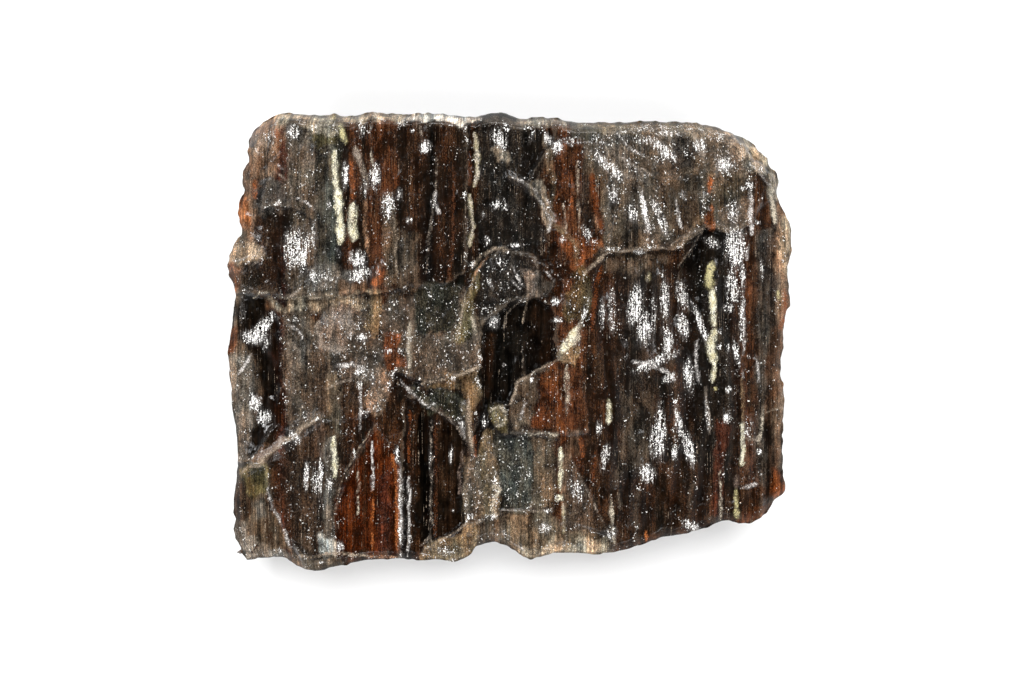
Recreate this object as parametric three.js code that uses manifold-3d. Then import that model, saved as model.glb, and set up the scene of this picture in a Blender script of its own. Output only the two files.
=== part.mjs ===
// A rough slab of flow-banded obsidian, as broken: a nearly rectangular face of ledges, hollows and
// upright ripples, a chipped rim that undercuts all round, and a flat fracture that it lies on.
// Millimetres, +Z up. The slab lies on its back; its face leans towards -Y, and the origin is on the
// ground under the middle of the slab.
//
// The stone is shaped in the face's own frame: u to the right, v up the face and w out of it, with w = 0
// at the face's mean plane. One group then leans that frame back and stands it on the ground.

import * as THREE from "three";
import { mergeVertices } from "three/addons/utils/BufferGeometryUtils.js";
import Module from "manifold-3d";

const LEAN = THREE.MathUtils.degToRad(10); // how far the face tips towards -Y
const FACE_HEIGHT = 30; // middle of the face above the ground
const FACE_SHIFT = -1.5; // middle of the face in Y, with which the whole slab centres on the origin
const FACE_CELLS = [60, 48]; // facets across and up the face
const CELL_CROWDING = 0.35; // how much narrower than average the facets are beside the rim
const RIM_ROWS = 8; // rows of facets down the rim
const BELOW_GROUND = 2; // what the ground plane trims off underneath
const STEP_WIDTH = 1.3; // how wide the riser of a ledge is
const RIM_ROUND = { width: 3, drop: 1.7 }; // rounding where the face meets the rim
const TOP_BEVEL = { width: 2.2, drop: 6.5 }; // the steeper strip along the upper edge
const UNDERCUT = { side: 8, top: 3.5 }; // how far the rim draws in by the time it reaches the ground
const CORE = [34, 24]; // half sizes of the block that the rim draws in towards

// The broken outline of the face, [u, v], in four runs that meet at the corners.
const EDGE = {
  left: [
    [-56, -46.8], [-58.9, -40.8], [-58.6, -38.8], [-59, -35], [-58.2, -29], [-58.2, -20], [-59.4, -10],
    [-60, -3], [-58.7, 7], [-58.8, 11], [-60.1, 14.5], [-59.8, 18], [-57.6, 22], [-57.9, 26.5],
    [-56.6, 31], [-57, 34.5], [-55.7, 38.5], [-54.9, 43.8], [-52.4, 46.4],
  ],
  right: [
    [53.5, -37.8], [56.5, -34], [58.8, -31], [58, -28], [58.2, -15], [57.6, -7], [58.3, 2], [59.6, 8],
    [59, 13], [60, 20], [58.9, 26], [57, 31.5], [57.1, 34.6], [54.8, 38.8],
  ],
  bottom: [
    [-56, -46.8], [-51, -46.2], [-48, -46.3], [-43.5, -49], [-40, -49], [-36, -48], [-30, -46.8],
    [-20, -46.8], [-12, -47.2], [-8, -45], [-4, -43], [-0.5, -43.8], [4, -46.5], [8, -45.5],
    [13, -45.2], [20, -45.5], [29, -43.2], [40, -40.5], [45, -38.6], [49, -39], [53.5, -37.8],
  ],
  top: [
    [-52.4, 46.4], [-49, 48], [-43, 48.1], [-35, 47.6], [-29, 48.7], [-22, 47.9], [-17, 48.3],
    [-8, 47.4], [-3, 48.5], [2, 47.2], [8, 47.4], [15, 46.4], [30, 46.6], [39, 46.2], [45, 44.9],
    [51, 42.2], [54.8, 38.8],
  ],
};

// The sheets that the face has split along. Each lies `rise` above the mean plane at its middle, climbs
// by `right` and `up` per millimetre, and sinks by `hollow` from its edge to its middle. Later ones are
// broken out of, or stand on, the earlier ones.
const SHEETS = [
  {
    name: "banded upper left",
    corners: [
      [-50, 52], [-7, 52], [-8.5, 30], [-9, 14], [-16, 11], [-23, 10.3], [-30, 9.6], [-40, 9], [-48, 8.6],
      [-51, 10], [-50, 24], [-53, 28], [-52, 36], [-50, 46],
    ],
    rise: 1.5, right: 0, up: 0.01, hollow: 0,
  },
  {
    name: "left fringe",
    corners: [
      [-64, 52], [-50, 52], [-50, 46], [-52, 36], [-53, 28], [-50, 24], [-51, 10], [-64, 12],
    ],
    rise: -0.2, right: 0.22, up: 0, hollow: 0,
  },
  {
    name: "dark hollow",
    corners: [
      [-53, 27.5], [-50, 28.3], [-46, 27.8], [-42, 26], [-41.5, 18], [-43, 12], [-48.4, 8.8], [-50, 18],
    ],
    rise: 0.7, right: 0.03, up: 0, hollow: 0.8,
  },
  {
    name: "left trough",
    corners: [
      [-64, 9.5], [-55, 10], [-51.5, 9.5], [-49, 3], [-48.8, -10], [-50, -18], [-55, -25.5], [-64, -22],
    ],
    rise: -1.3, right: 0, up: 0, hollow: 1.4,
  },
  {
    name: "frosted left middle",
    corners: [
      [-49, 8.5], [-22, 10], [-10, 11], [-6, 4], [-5.5, -6], [-12, -7.5], [-18, -9.5], [-24, -7],
      [-28, -15], [-36, -17], [-41, -16.5], [-47, -20.5], [-50, -18], [-48.8, -10], [-49, 3],
    ],
    rise: -0.3, right: 0, up: 0, hollow: 0.3,
  },
  {
    name: "lower left",
    corners: [
      [-52, -26], [-47, -21], [-41, -17], [-36, -17], [-30, -15.5], [-29, -17.5], [-33, -25],
      [-37.5, -36], [-37.5, -46], [-43, -46.5], [-46, -43], [-49, -38], [-51, -33],
    ],
    rise: -0.8, right: 0, up: 0.02, hollow: 0.4,
  },
  {
    name: "lower left corner",
    corners: [
      [-64, -26], [-55, -26], [-52, -26.5], [-51, -33], [-49, -38], [-46, -43], [-43, -52], [-64, -52],
    ],
    rise: -2.2, right: 0.24, up: 0.08, hollow: 0,
  },
  {
    name: "orange arrowhead",
    corners: [
      [-29, -17.5], [-25, -24], [-23.3, -28], [-23.2, -52], [-37.5, -52], [-37.5, -36], [-33, -25.5],
      [-30.5, -21],
    ],
    rise: 0.2, right: 0.02, up: 0.01, hollow: 0,
  },
  {
    name: "arch",
    corners: [
      [-22, -12.3], [-18, -13.8], [-14.5, -15.2], [-11, -18.5], [-9.4, -22], [-9.4, -27], [-10.5, -32],
      [-9.8, -39], [-14, -42], [-18, -44.5], [-20, -52], [-23, -52], [-22.5, -28],
    ],
    rise: -1.5, right: 0, up: 0, hollow: 0.9,
  },
  {
    name: "facet over the arch",
    corners: [
      [-21, -10], [-14, -10.2], [-11, -13], [-9.8, -19], [-14.5, -15.2], [-18, -13.8], [-22, -12.3],
    ],
    rise: -0.2, right: 0, up: 0.15, hollow: 0,
  },
  {
    name: "tan facet",
    corners: [
      [-18, -9.6], [-12, -7.6], [-6, -5.6], [-6.5, -12], [-7.5, -24], [-9.6, -22], [-9.8, -19],
      [-11, -13], [-14, -10.2],
    ],
    rise: 0.8, right: 0.08, up: 0, hollow: 0,
  },
  {
    name: "lip left of the notch",
    corners: [
      [-20, -52], [-18, -44.5], [-14, -42], [-9.8, -39.3], [-5, -38], [-3, -37], [-4, -52],
    ],
    rise: -1.4, right: 0, up: 0.18, hollow: 0,
  },
  {
    name: "dark centre",
    corners: [
      [-8.5, 52], [9, 52], [8, 36], [3, 33.6], [6, 30], [8.5, 25], [9, 20], [4, 19.6], [-4, 19.6],
      [-8, 15], [-9, 20],
    ],
    rise: 0.3, right: 0, up: 0.01, hollow: 0.3,
  },
  {
    name: "middle lump",
    corners: [
      [-11, 2], [-9, 10], [-7, 15], [-4.5, 18.5], [-1, 19.6], [4, 19], [8, 16], [9.5, 12], [8, 9],
      [4, 9.4], [0, 8], [-3, 5.5], [-6, 3], [-8, 1],
    ],
    rise: 1.9, right: -0.03, up: 0.03, hollow: -0.9,
  },
  {
    name: "dark column",
    corners: [
      [-6, 2], [-3, 5], [0.5, 7.6], [5, 9], [8.5, 7], [10, 3.5], [8.8, 0], [9.6, -3.6], [5, -6.5],
      [1, -8.5], [0, -13], [-5, -14.5], [-6.3, -8],
    ],
    rise: -1.7, right: 0, up: 0, hollow: 0.5,
  },
  {
    name: "brown shoulder",
    corners: [
      [3, 33.6], [9, 42], [20, 42], [22, 24], [16, 22], [11, 23.5], [9, 25], [6.5, 30],
    ],
    rise: 1.5, right: 0, up: 0, hollow: 0.2,
  },
  {
    name: "upper right",
    corners: [
      [9, 52], [45, 52], [50, 42], [55, 34], [52, 25], [46, 22], [41, 23.6], [36, 19.6], [30, 18.8],
      [25, 18.4], [20, 18], [17, 20], [16, 22], [22, 24], [20, 42], [9, 42],
    ],
    rise: 1.9, right: -0.02, up: -0.02, hollow: 0.3,
  },
  {
    name: "dark wedge",
    corners: [[36, 16], [41.5, 24], [46, 22], [44, 14], [40, 6], [37, 9]],
    rise: -1.3, right: 0, up: 0, hollow: 0.2,
  },
  {
    name: "saddle",
    corners: [
      [11, 23.5], [16, 22], [17, 20], [20, 18], [18, 14], [15, 0], [13, -2], [9.5, 0], [11, 10], [10, 18],
    ],
    rise: 0.9, right: -0.04, up: 0.02, hollow: 0,
  },
  {
    name: "lower middle",
    corners: [
      [1, -8.5], [5, -6.5], [10, -4], [15, 0], [17, -20], [12, -20], [4, -20], [0, -20], [0, -13],
    ],
    rise: 0.7, right: 0.02, up: 0, hollow: 0,
  },
  {
    name: "slate panel",
    corners: [[-3.5, -20.5], [4.5, -20.5], [10, -21], [10, -36], [4, -36], [-2, -36]],
    rise: -0.6, right: 0.02, up: 0, hollow: 0.3,
  },
  {
    name: "lip right of the notch",
    corners: [[-2, -36.5], [10, -37], [22, -42], [22, -52], [-3, -52]],
    rise: -1.1, right: 0, up: 0.14, hollow: 0,
  },
  {
    name: "right rim",
    corners: [[53, 28], [64, 34], [64, -40], [54, -40]],
    rise: -1.3, right: -0.2, up: 0, hollow: 0,
  },
  {
    name: "upper right rim",
    corners: [[38, 52], [46, 44.5], [50, 41], [55, 35.5], [57, 31], [66, 31], [66, 52]],
    rise: -1.6, right: -0.12, up: -0.12, hollow: 0,
  },
];

// Upright ripples of the right-hand half, which fade out at the edges of that field. Their heights vary
// across the field.
const RIPPLES = { from: [16, -43], to: [55, 18], fade: 4, spacing: 5.4, height: 0.7, sway: 1.6 };

// Knobs and ridges: [u, v] points that the swelling follows, its half width and its height.
const SWELLINGS = [
  { name: "left knob", path: [[-58, 16.5], [-54.5, 17.8]], width: 2.6, height: 1.6 },
  { name: "round boss", path: [[-37, 1.5], [-36, 1.5]], width: 4, height: 0.9 },
  { name: "ridge under the trough", path: [[-57, -28], [-50, -24], [-47, -20.5], [-41, -16.5]], width: 1.2,
    height: 1.5 },
  { name: "orange chip", path: [[-29, 11.5], [-27.5, 16]], width: 1.3, height: 1 },
  { name: "pale spine", path: [[-8.5, -12], [-8.6, -18], [-7.6, -24]], width: 1.1, height: 0.9 },
  { name: "small boss", path: [[-2.6, -16.2], [-2.4, -16]], width: 1.9, height: 1 },
  { name: "shoulder ridge", path: [[0, 34.8], [3, 33.5], [6.5, 30], [9, 24.5]], width: 1.1, height: 0.8 },
  { name: "belly of the ripples", path: [[31, -8], [32, -26]], width: 10, height: 1.3 },
];

// Shell-shaped scars bitten out of the rim: which edge, how far along it, how deep below the face, the
// radius of the scar and how much it takes. Broad shallow ones come first, and small ones cut into them.
const SCARS = [
  { edge: "bottom", at: -38, below: 16, radius: 34, bite: 3.4 },
  { edge: "bottom", at: 20, below: 20, radius: 40, bite: 3.6 },
  { edge: "bottom", at: -4, below: 9, radius: 9, bite: 3.2 },
  { edge: "bottom", at: -21, below: 7, radius: 7, bite: 2 },
  { edge: "bottom", at: -50, below: 10, radius: 10, bite: 2.4 },
  { edge: "bottom", at: 38, below: 9, radius: 12, bite: 2.8 },
  { edge: "bottom", at: 50, below: 17, radius: 15, bite: 3.4 },
  { edge: "right", at: -16, below: 20, radius: 36, bite: 4 },
  { edge: "right", at: 22, below: 24, radius: 30, bite: 4.4 },
  { edge: "right", at: -30, below: 8, radius: 8, bite: 2.2 },
  { edge: "right", at: 5, below: 12, radius: 14, bite: 2.6 },
  { edge: "right", at: 36, below: 12, radius: 10, bite: 2.6 },
  { edge: "top", at: 36, below: 24, radius: 38, bite: 4.4 },
  { edge: "top", at: -4, below: 22, radius: 26, bite: 3.8 },
  { edge: "top", at: -38, below: 28, radius: 40, bite: 4.4 },
  { edge: "top", at: 16, below: 14, radius: 9, bite: 2.6 },
  { edge: "top", at: -20, below: 15, radius: 12, bite: 2.8 },
  { edge: "top", at: -49, below: 13, radius: 10, bite: 2.8 },
  { edge: "left", at: 26, below: 22, radius: 32, bite: 4 },
  { edge: "left", at: -22, below: 17, radius: 36, bite: 3.6 },
  { edge: "left", at: 3, below: 14, radius: 12, bite: 3 },
  { edge: "left", at: 40, below: 12, radius: 9, bite: 2.4 },
  { edge: "left", at: -38, below: 9, radius: 8, bite: 2.4 },
];

const flat = ([u, v]) => new THREE.Vector3(u, v, 0);
const smooth = (x) => x * x * (3 - 2 * x);
const clamp01 = (x) => Math.min(1, Math.max(0, x));

const runs = {};
for (const [side, points] of Object.entries(EDGE)) {
  runs[side] = new THREE.CatmullRomCurve3(points.map(flat), false, "centripetal");
}
const OUTLINE_POINTS = Object.values(runs).flatMap((run) => run.getSpacedPoints(120));

// A point of the face for s across and t up it, both 0 to 1, spread evenly between the four edge runs.
function onFace(s, t) {
  const [left, right] = [runs.left.getPointAt(t), runs.right.getPointAt(t)];
  const [bottom, top] = [runs.bottom.getPointAt(s), runs.top.getPointAt(s)];
  const [bl, br] = [flat(EDGE.left[0]), flat(EDGE.right[0])];
  const [tl, tr] = [flat(EDGE.left.at(-1)), flat(EDGE.right.at(-1))];
  const across = left.clone().lerp(right, s);
  const up = bottom.clone().lerp(top, t);
  const corners = bl.lerp(br, s).lerp(tl.lerp(tr, s), t);
  return across.add(up).sub(corners);
}

// Moves even spacings of 0 to 1 so that they crowd towards both ends.
const crowded = (x) => x - (CELL_CROWDING * Math.sin(2 * Math.PI * x)) / (2 * Math.PI);

function distanceToSegment(p, a, b) {
  const ab = b.clone().sub(a);
  const along = clamp01(p.clone().sub(a).dot(ab) / Math.max(ab.lengthSq(), 1e-9));
  return p.distanceTo(a.clone().addScaledVector(ab, along));
}

const distanceToPath = (p, path) =>
  Math.min(...path.slice(1).map((b, i) => distanceToSegment(p, path[i], b)));

const distanceToOutline = (p) => Math.min(...OUTLINE_POINTS.map((q) => Math.hypot(p.x - q.x, p.y - q.y)));

// How much of a sheet is under p: 1 inside it, 0 outside, with a riser between.
function cover(p, sheet) {
  let inside = false;
  sheet.loop.forEach((b, i) => {
    const a = sheet.loop.at(i - 1);
    const crosses = a.y > p.y !== b.y > p.y;
    if (crosses && p.x < a.x + ((p.y - a.y) * (b.x - a.x)) / (b.y - a.y)) inside = !inside;
  });
  const edge = distanceToPath(p, [...sheet.loop, sheet.loop[0]]);
  return { share: smooth(clamp01(0.5 + (inside ? edge : -edge) / STEP_WIDTH)), edge };
}

for (const sheet of SHEETS) {
  sheet.loop = sheet.corners.map(flat);
  sheet.middle = sheet.loop.reduce((sum, p) => sum.add(p), new THREE.Vector3()).divideScalar(sheet.loop.length);
}
for (const swelling of SWELLINGS) swelling.line = swelling.path.map(flat);

function rippleHeight(p) {
  const { from, to, fade, spacing, height, sway } = RIPPLES;
  const inset = Math.min(p.x - from[0], to[0] - p.x, p.y - from[1], to[1] - p.y);
  const phase = (p.x + sway * Math.sin(p.y / 9)) / spacing;
  const strength = 0.7 + 0.3 * Math.sin(p.x / 2.3 + p.y / 11);
  return height * strength * Math.sin(2 * Math.PI * phase) * clamp01(inset / fade);
}

// The face's height over its mean plane.
function faceHeight(p) {
  let w = 0.5 * Math.sin(p.x / 13 + 1) * Math.cos(p.y / 17);
  for (const sheet of SHEETS) {
    const { share, edge } = cover(p, sheet);
    if (share === 0) continue;
    const plane = sheet.rise + sheet.right * (p.x - sheet.middle.x) + sheet.up * (p.y - sheet.middle.y);
    w += (plane - sheet.hollow * clamp01(edge / 5) - w) * share;
  }
  for (const { line, width, height } of SWELLINGS) {
    w += height * Math.exp(-((distanceToPath(p, line) / width) ** 2));
  }
  w += rippleHeight(p);
  const fromRim = distanceToOutline(p);
  const bevel = p.y > 41 ? TOP_BEVEL : RIM_ROUND;
  return w - bevel.drop * (1 - clamp01(fromRim / bevel.width)) ** 2;
}

// Height in the face's frame of the plane that lies `above` the ground, at v.
const groundLevel = (v, above) => (above - FACE_HEIGHT - v * Math.sin(LEAN)) / Math.cos(LEAN);

// Where the rim draws in to from p, and how far it has drawn in by the share `down` of its height.
function rimPoint(p, down) {
  const core = new THREE.Vector3(
    THREE.MathUtils.clamp(p.x, -CORE[0], CORE[0]),
    THREE.MathUtils.clamp(p.y, -CORE[1], CORE[1]),
    0,
  );
  const inward = core.sub(p).normalize();
  const reach = THREE.MathUtils.lerp(UNDERCUT.side, UNDERCUT.top, clamp01(-inward.y));
  const swell = 0.6 * Math.sin(p.x / 5 + 7 * down) * Math.sin(p.y / 6 - 5 * down) * Math.sin(Math.PI * down);
  const q = p.clone().addScaledVector(inward, reach * down ** 1.4 + swell);
  q.z = THREE.MathUtils.lerp(faceHeight(p), groundLevel(p.y, -BELOW_GROUND), down);
  return q;
}

// The sphere that each scar is a piece of: its middle stands off the rim.
const scarSpheres = SCARS.map(({ edge, at, below, radius, bite }) => {
  const upright = edge === "left" || edge === "right";
  const run = runs[edge].getSpacedPoints(120);
  const near = run.reduce((best, p) => {
    const gap = (q) => Math.abs((upright ? q.y : q.x) - at);
    return gap(p) < gap(best) ? p : best;
  });
  const out = new THREE.Vector3(upright ? Math.sign(near.x) : 0, upright ? 0 : Math.sign(near.y), 0);
  const drawnIn = 3;
  const middle = near.clone().addScaledVector(out, radius - bite - drawnIn);
  middle.z = -below;
  return new THREE.Sphere(middle, radius);
});

// Pushes a point of the rim out of every scar that it is in.
function scarred(p, down) {
  for (const sphere of scarSpheres) {
    const from = p.clone().sub(sphere.center);
    if (from.length() < sphere.radius) {
      const pushed = sphere.center.clone().addScaledVector(from.normalize(), sphere.radius);
      p.lerp(pushed, clamp01(down * RIM_ROWS * 0.6));
    }
  }
  return p;
}

// A box whose front is laid over the face, whose sides are the rim and whose back is under the ground.
function stoneGeometry() {
  const box = new THREE.BoxGeometry(2, 2, 2, ...FACE_CELLS, RIM_ROWS);
  box.deleteAttribute("normal");
  box.deleteAttribute("uv");
  const stone = mergeVertices(box, 1e-4);
  const place = stone.getAttribute("position");
  const at = new THREE.Vector3();
  for (let i = 0; i < place.count; i++) {
    at.fromBufferAttribute(place, i);
    const down = (1 - at.z) / 2;
    const p = onFace(crowded((at.x + 1) / 2), crowded((at.y + 1) / 2));
    if (down === 0) {
      p.z = faceHeight(p);
      place.setXYZ(i, p.x, p.y, p.z);
      continue;
    }
    const onRim = Math.abs(at.x) > 0.9999 || Math.abs(at.y) > 0.9999;
    const q = onRim ? scarred(rimPoint(p, down), down) : p.multiplyScalar(0.8);
    if (!onRim) q.z = groundLevel(q.y, -BELOW_GROUND);
    place.setXYZ(i, q.x, q.y, q.z);
  }
  return stone;
}

function solidOf(geometry) {
  const bare = geometry.clone();
  for (const name of ["normal", "uv"]) bare.deleteAttribute(name);
  const { index, attributes } = mergeVertices(bare, 1e-4);
  const mesh = new wasm.Mesh({
    numProp: 3,
    vertProperties: new Float32Array(attributes.position.array),
    triVerts: new Uint32Array(index.array),
  });
  return new wasm.Manifold(mesh);
}

function geometryOf(solid) {
  const { vertProperties, triVerts } = solid.getMesh();
  const geometry = new THREE.BufferGeometry();
  geometry.setAttribute("position", new THREE.BufferAttribute(new Float32Array(vertProperties), 3));
  geometry.setIndex(new THREE.BufferAttribute(new Uint32Array(triVerts), 1));
  geometry.computeVertexNormals();
  return geometry;
}

// Leans the face and trims the underside flat on the ground.
function standingStone() {
  const stone = stoneGeometry();
  stone.rotateX(LEAN);
  stone.translate(0, FACE_SHIFT, FACE_HEIGHT);
  const ground = new THREE.BoxGeometry(200, 200, 40);
  ground.translate(0, 0, -20);
  return geometryOf(solidOf(stone).subtract(solidOf(ground)));
}

const wasm = await Module();
wasm.setup();

const obsidian = new THREE.MeshStandardMaterial({
  name: "banded obsidian",
  color: new THREE.Color(0.2, 0.15, 0.12),
  roughness: 0.25,
  metalness: 0,
});

const slab = new THREE.Mesh(standingStone(), obsidian);
slab.name = "obsidian_slab";

const specimen = new THREE.Group();
specimen.add(slab);

export default specimen;
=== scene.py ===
"""A rough slab of flow-banded obsidian, lying on its back on a pale floor.

The stone is modelled in its own face frame, in millimetres: u runs to the right, v up the broken face and w
out of it, with w = 0 at the face's mean plane. The frame is then leaned back and stood on the floor, as the
CAD solid is.
"""

import math
from typing import NamedTuple

import bmesh
import bpy
import numpy as np
from mathutils import Matrix, Vector


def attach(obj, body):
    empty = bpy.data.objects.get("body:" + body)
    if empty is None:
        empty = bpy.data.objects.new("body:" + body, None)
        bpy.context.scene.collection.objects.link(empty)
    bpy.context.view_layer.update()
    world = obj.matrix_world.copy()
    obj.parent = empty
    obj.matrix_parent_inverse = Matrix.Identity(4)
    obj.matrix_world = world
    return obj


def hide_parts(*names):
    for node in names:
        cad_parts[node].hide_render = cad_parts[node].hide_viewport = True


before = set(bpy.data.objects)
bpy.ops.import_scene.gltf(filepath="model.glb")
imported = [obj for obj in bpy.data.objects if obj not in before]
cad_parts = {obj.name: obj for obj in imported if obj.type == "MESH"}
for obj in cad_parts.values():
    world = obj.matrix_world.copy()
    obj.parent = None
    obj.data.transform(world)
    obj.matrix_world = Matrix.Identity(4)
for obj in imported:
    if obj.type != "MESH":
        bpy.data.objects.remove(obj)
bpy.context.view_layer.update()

# ---------------------------------------------------------------- driving sizes, millimetres unless named

MM = 0.001

# How far the face leans back, how high its middle is above the ground, and where that is along Y.
LEAN = math.radians(10)
FACE_HEIGHT = 30
FACE_SHIFT = -1.5

# The cells of the face's grid, the rows of the rim hung round it, and how far under the ground that ends.
FACE_CELLS = (300, 242)
RIM_ROWS = 20
BELOW_GROUND = 2

# How wide the step at a sheet's edge is.
STEP_WIDTH = 0.55

# How far in from the outline the face rounds off and how far it drops there; more so above TOP_FROM. Within
# MIDDLE, as half sizes, no part of the outline is near.
RIM_ROUND = (2.0, 1.5)
TOP_BEVEL = (2.3, 4.6)
TOP_FROM = 41
MIDDLE = (48, 33)

# How far the rim draws in on its way down, towards a core of these half sizes.
UNDERCUT = {"side": 8, "top": 3.5}
CORE = (34, 24)

# How sugary the glass is where no patch says, and down the flank.
PLAIN_FROST = 0.25
FLANK_FROST = 0.18

# Where faces meet at more than this angle, the edge between them looks sharp.
SHARP_FROM = math.radians(38)

# The eye over the face: its u and v, and how high it is above the mean plane.
EYE = (0.4, -0.2, 236.2)

# Half the side of the floor, in metres.
FLOOR_REACH = 1.5

STAND = Matrix.Translation((0, FACE_SHIFT, FACE_HEIGHT)) @ Matrix.Rotation(LEAN, 4, "X")

# The stone's colours, as sRGB.
COLOURS = {
    "black": (9, 6, 4),
    "ink": (22, 16, 11),
    "soot": (36, 31, 27),
    "umber": (50, 31, 19),
    "mahogany": (72, 42, 25),
    "maroon": (66, 34, 24),
    "garnet": (66, 28, 9),
    "rust": (98, 50, 22),
    "copper": (140, 78, 42),
    "amber": (168, 98, 52),
    "smoke": (88, 74, 62),
    "taupe": (104, 88, 72),
    "ash": (68, 60, 54),
    "slate": (71, 70, 63),
    "dove": (112, 104, 97),
    "bottle": (42, 40, 32),
    "liver": (38, 20, 12),
    "moss": (52, 50, 40),
    "olive": (96, 84, 56),
    "fawn": (134, 106, 86),
    "tan": (128, 106, 80),
    "sand": (168, 150, 130),
    "peach": (176, 134, 102),
    "rose": (126, 108, 97),
    "pearl": (152, 138, 124),
    "silver": (214, 208, 203),
    "white": (250, 248, 244),
    "bone": (196, 184, 164),
    "khaki": (166, 152, 98),
    "straw": (196, 186, 138),
    "cream": (236, 230, 204),
}

# The flow bands across the stone, [u, colour], which run through it from face to back.
BANDS = [
    (-60, "smoke"), (-50.5, "umber"), (-48.5, "maroon"), (-47, "soot"), (-43, "smoke"), (-40.5, "ash"),
    (-38, "slate"), (-35.5, "ink"), (-33.5, "mahogany"), (-31, "ink"), (-29, "mahogany"), (-27, "mahogany"),
    (-25.5, "umber"), (-23.5, "ink"), (-20, "umber"), (-17, "black"), (-13.5, "umber"), (-10, "ink"),
    (-8, "umber"), (-6, "black"), (2, "soot"), (8, "umber"), (11, "mahogany"), (14.5, "mahogany"),
    (17, "umber"), (21, "umber"), (26, "soot"), (35, "umber"), (40, "ink"), (46, "soot"), (51.3, "mahogany"),
    (53.6, "ash"),
]

# The broken outline of the face in four runs that meet at the corners.
EDGE = {
    "left": [
        (-56, -46.8), (-57.5, -44), (-59, -40.5), (-58.5, -38.8), (-59, -35), (-58.5, -31), (-58.2, -28.5),
        (-58, -25), (-58.3, -20), (-59, -15), (-59.5, -10), (-60, -5), (-59.8, 0), (-59.2, 4), (-58.6, 8),
        (-58.8, 11), (-60, 14.5), (-60, 17), (-59, 20), (-57.5, 22), (-57.2, 24), (-57.8, 26), (-57.5, 29.5),
        (-56.5, 31.5), (-57, 33.5), (-56.8, 36), (-55.8, 38), (-55.8, 41), (-55, 44), (-52.5, 46.3),
    ],
    "right": [
        (53.5, -37.8), (55, -36), (56.5, -34), (58.3, -32.5), (58.8, -31), (58, -28), (58.1, -25), (58, -20),
        (58.3, -15), (58.2, -10), (57.6, -8), (57.6, -5), (58.2, -1), (58.2, 3), (59, 6), (59.6, 8),
        (59.2, 12), (59, 15), (59.8, 18.5), (60, 21.5), (59.6, 24.5), (58.8, 26.5), (57.8, 28.5),
        (56.8, 31.5), (57, 33), (57, 35), (55.2, 37), (54.8, 38.8),
    ],
    "bottom": [
        (-56, -46.8), (-51, -46.3), (-48, -46.2), (-46, -47.8), (-43, -49), (-40, -49), (-36, -48),
        (-30, -46.8), (-25, -46.6), (-20, -46.8), (-15, -46.7), (-12, -47.2), (-9, -46), (-7, -44),
        (-4, -43), (-1.5, -43.4), (1, -44.8), (3.5, -46.4), (5.5, -46.5), (9, -45.5), (12, -45.2),
        (16, -45.5), (20, -45.5), (22.5, -45), (25, -44.4), (29, -43.2), (33, -41.8), (36, -41.5),
        (40, -40.5), (43, -39.3), (45, -38.6), (47.5, -38.6), (49, -39), (51, -38.9), (53.5, -37.8),
    ],
    "top": [
        (-52.5, 46.3), (-49.5, 47.9), (-47.5, 48.3), (-43, 48), (-39, 47.8), (-37.5, 48.2), (-35, 47.6),
        (-31, 48.2), (-29, 48.7), (-26.5, 48.2), (-23.5, 48.3), (-21.5, 47.9), (-19, 48.3), (-14, 48.1),
        (-8, 47.5), (-6, 48), (-3, 48.5), (-0.5, 48.1), (2, 47.2), (6, 47.4), (10, 47.2), (14, 46.4),
        (18, 46.4), (24, 46.4), (30, 46.6), (38, 46.3), (43, 45.6), (47, 44.2), (51, 42.2), (53, 40.3),
        (54.8, 38.8),
    ],
}


class Sheet(NamedTuple):
    """A sheet that the face has split along: `rise` above the mean plane at its middle, climbing by `right`
    and `up` per millimetre and sinking by `hollow` from its edge to its middle."""

    name: str
    corners: list
    rise: float = 0
    right: float = 0
    up: float = 0
    hollow: float = 0


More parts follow.
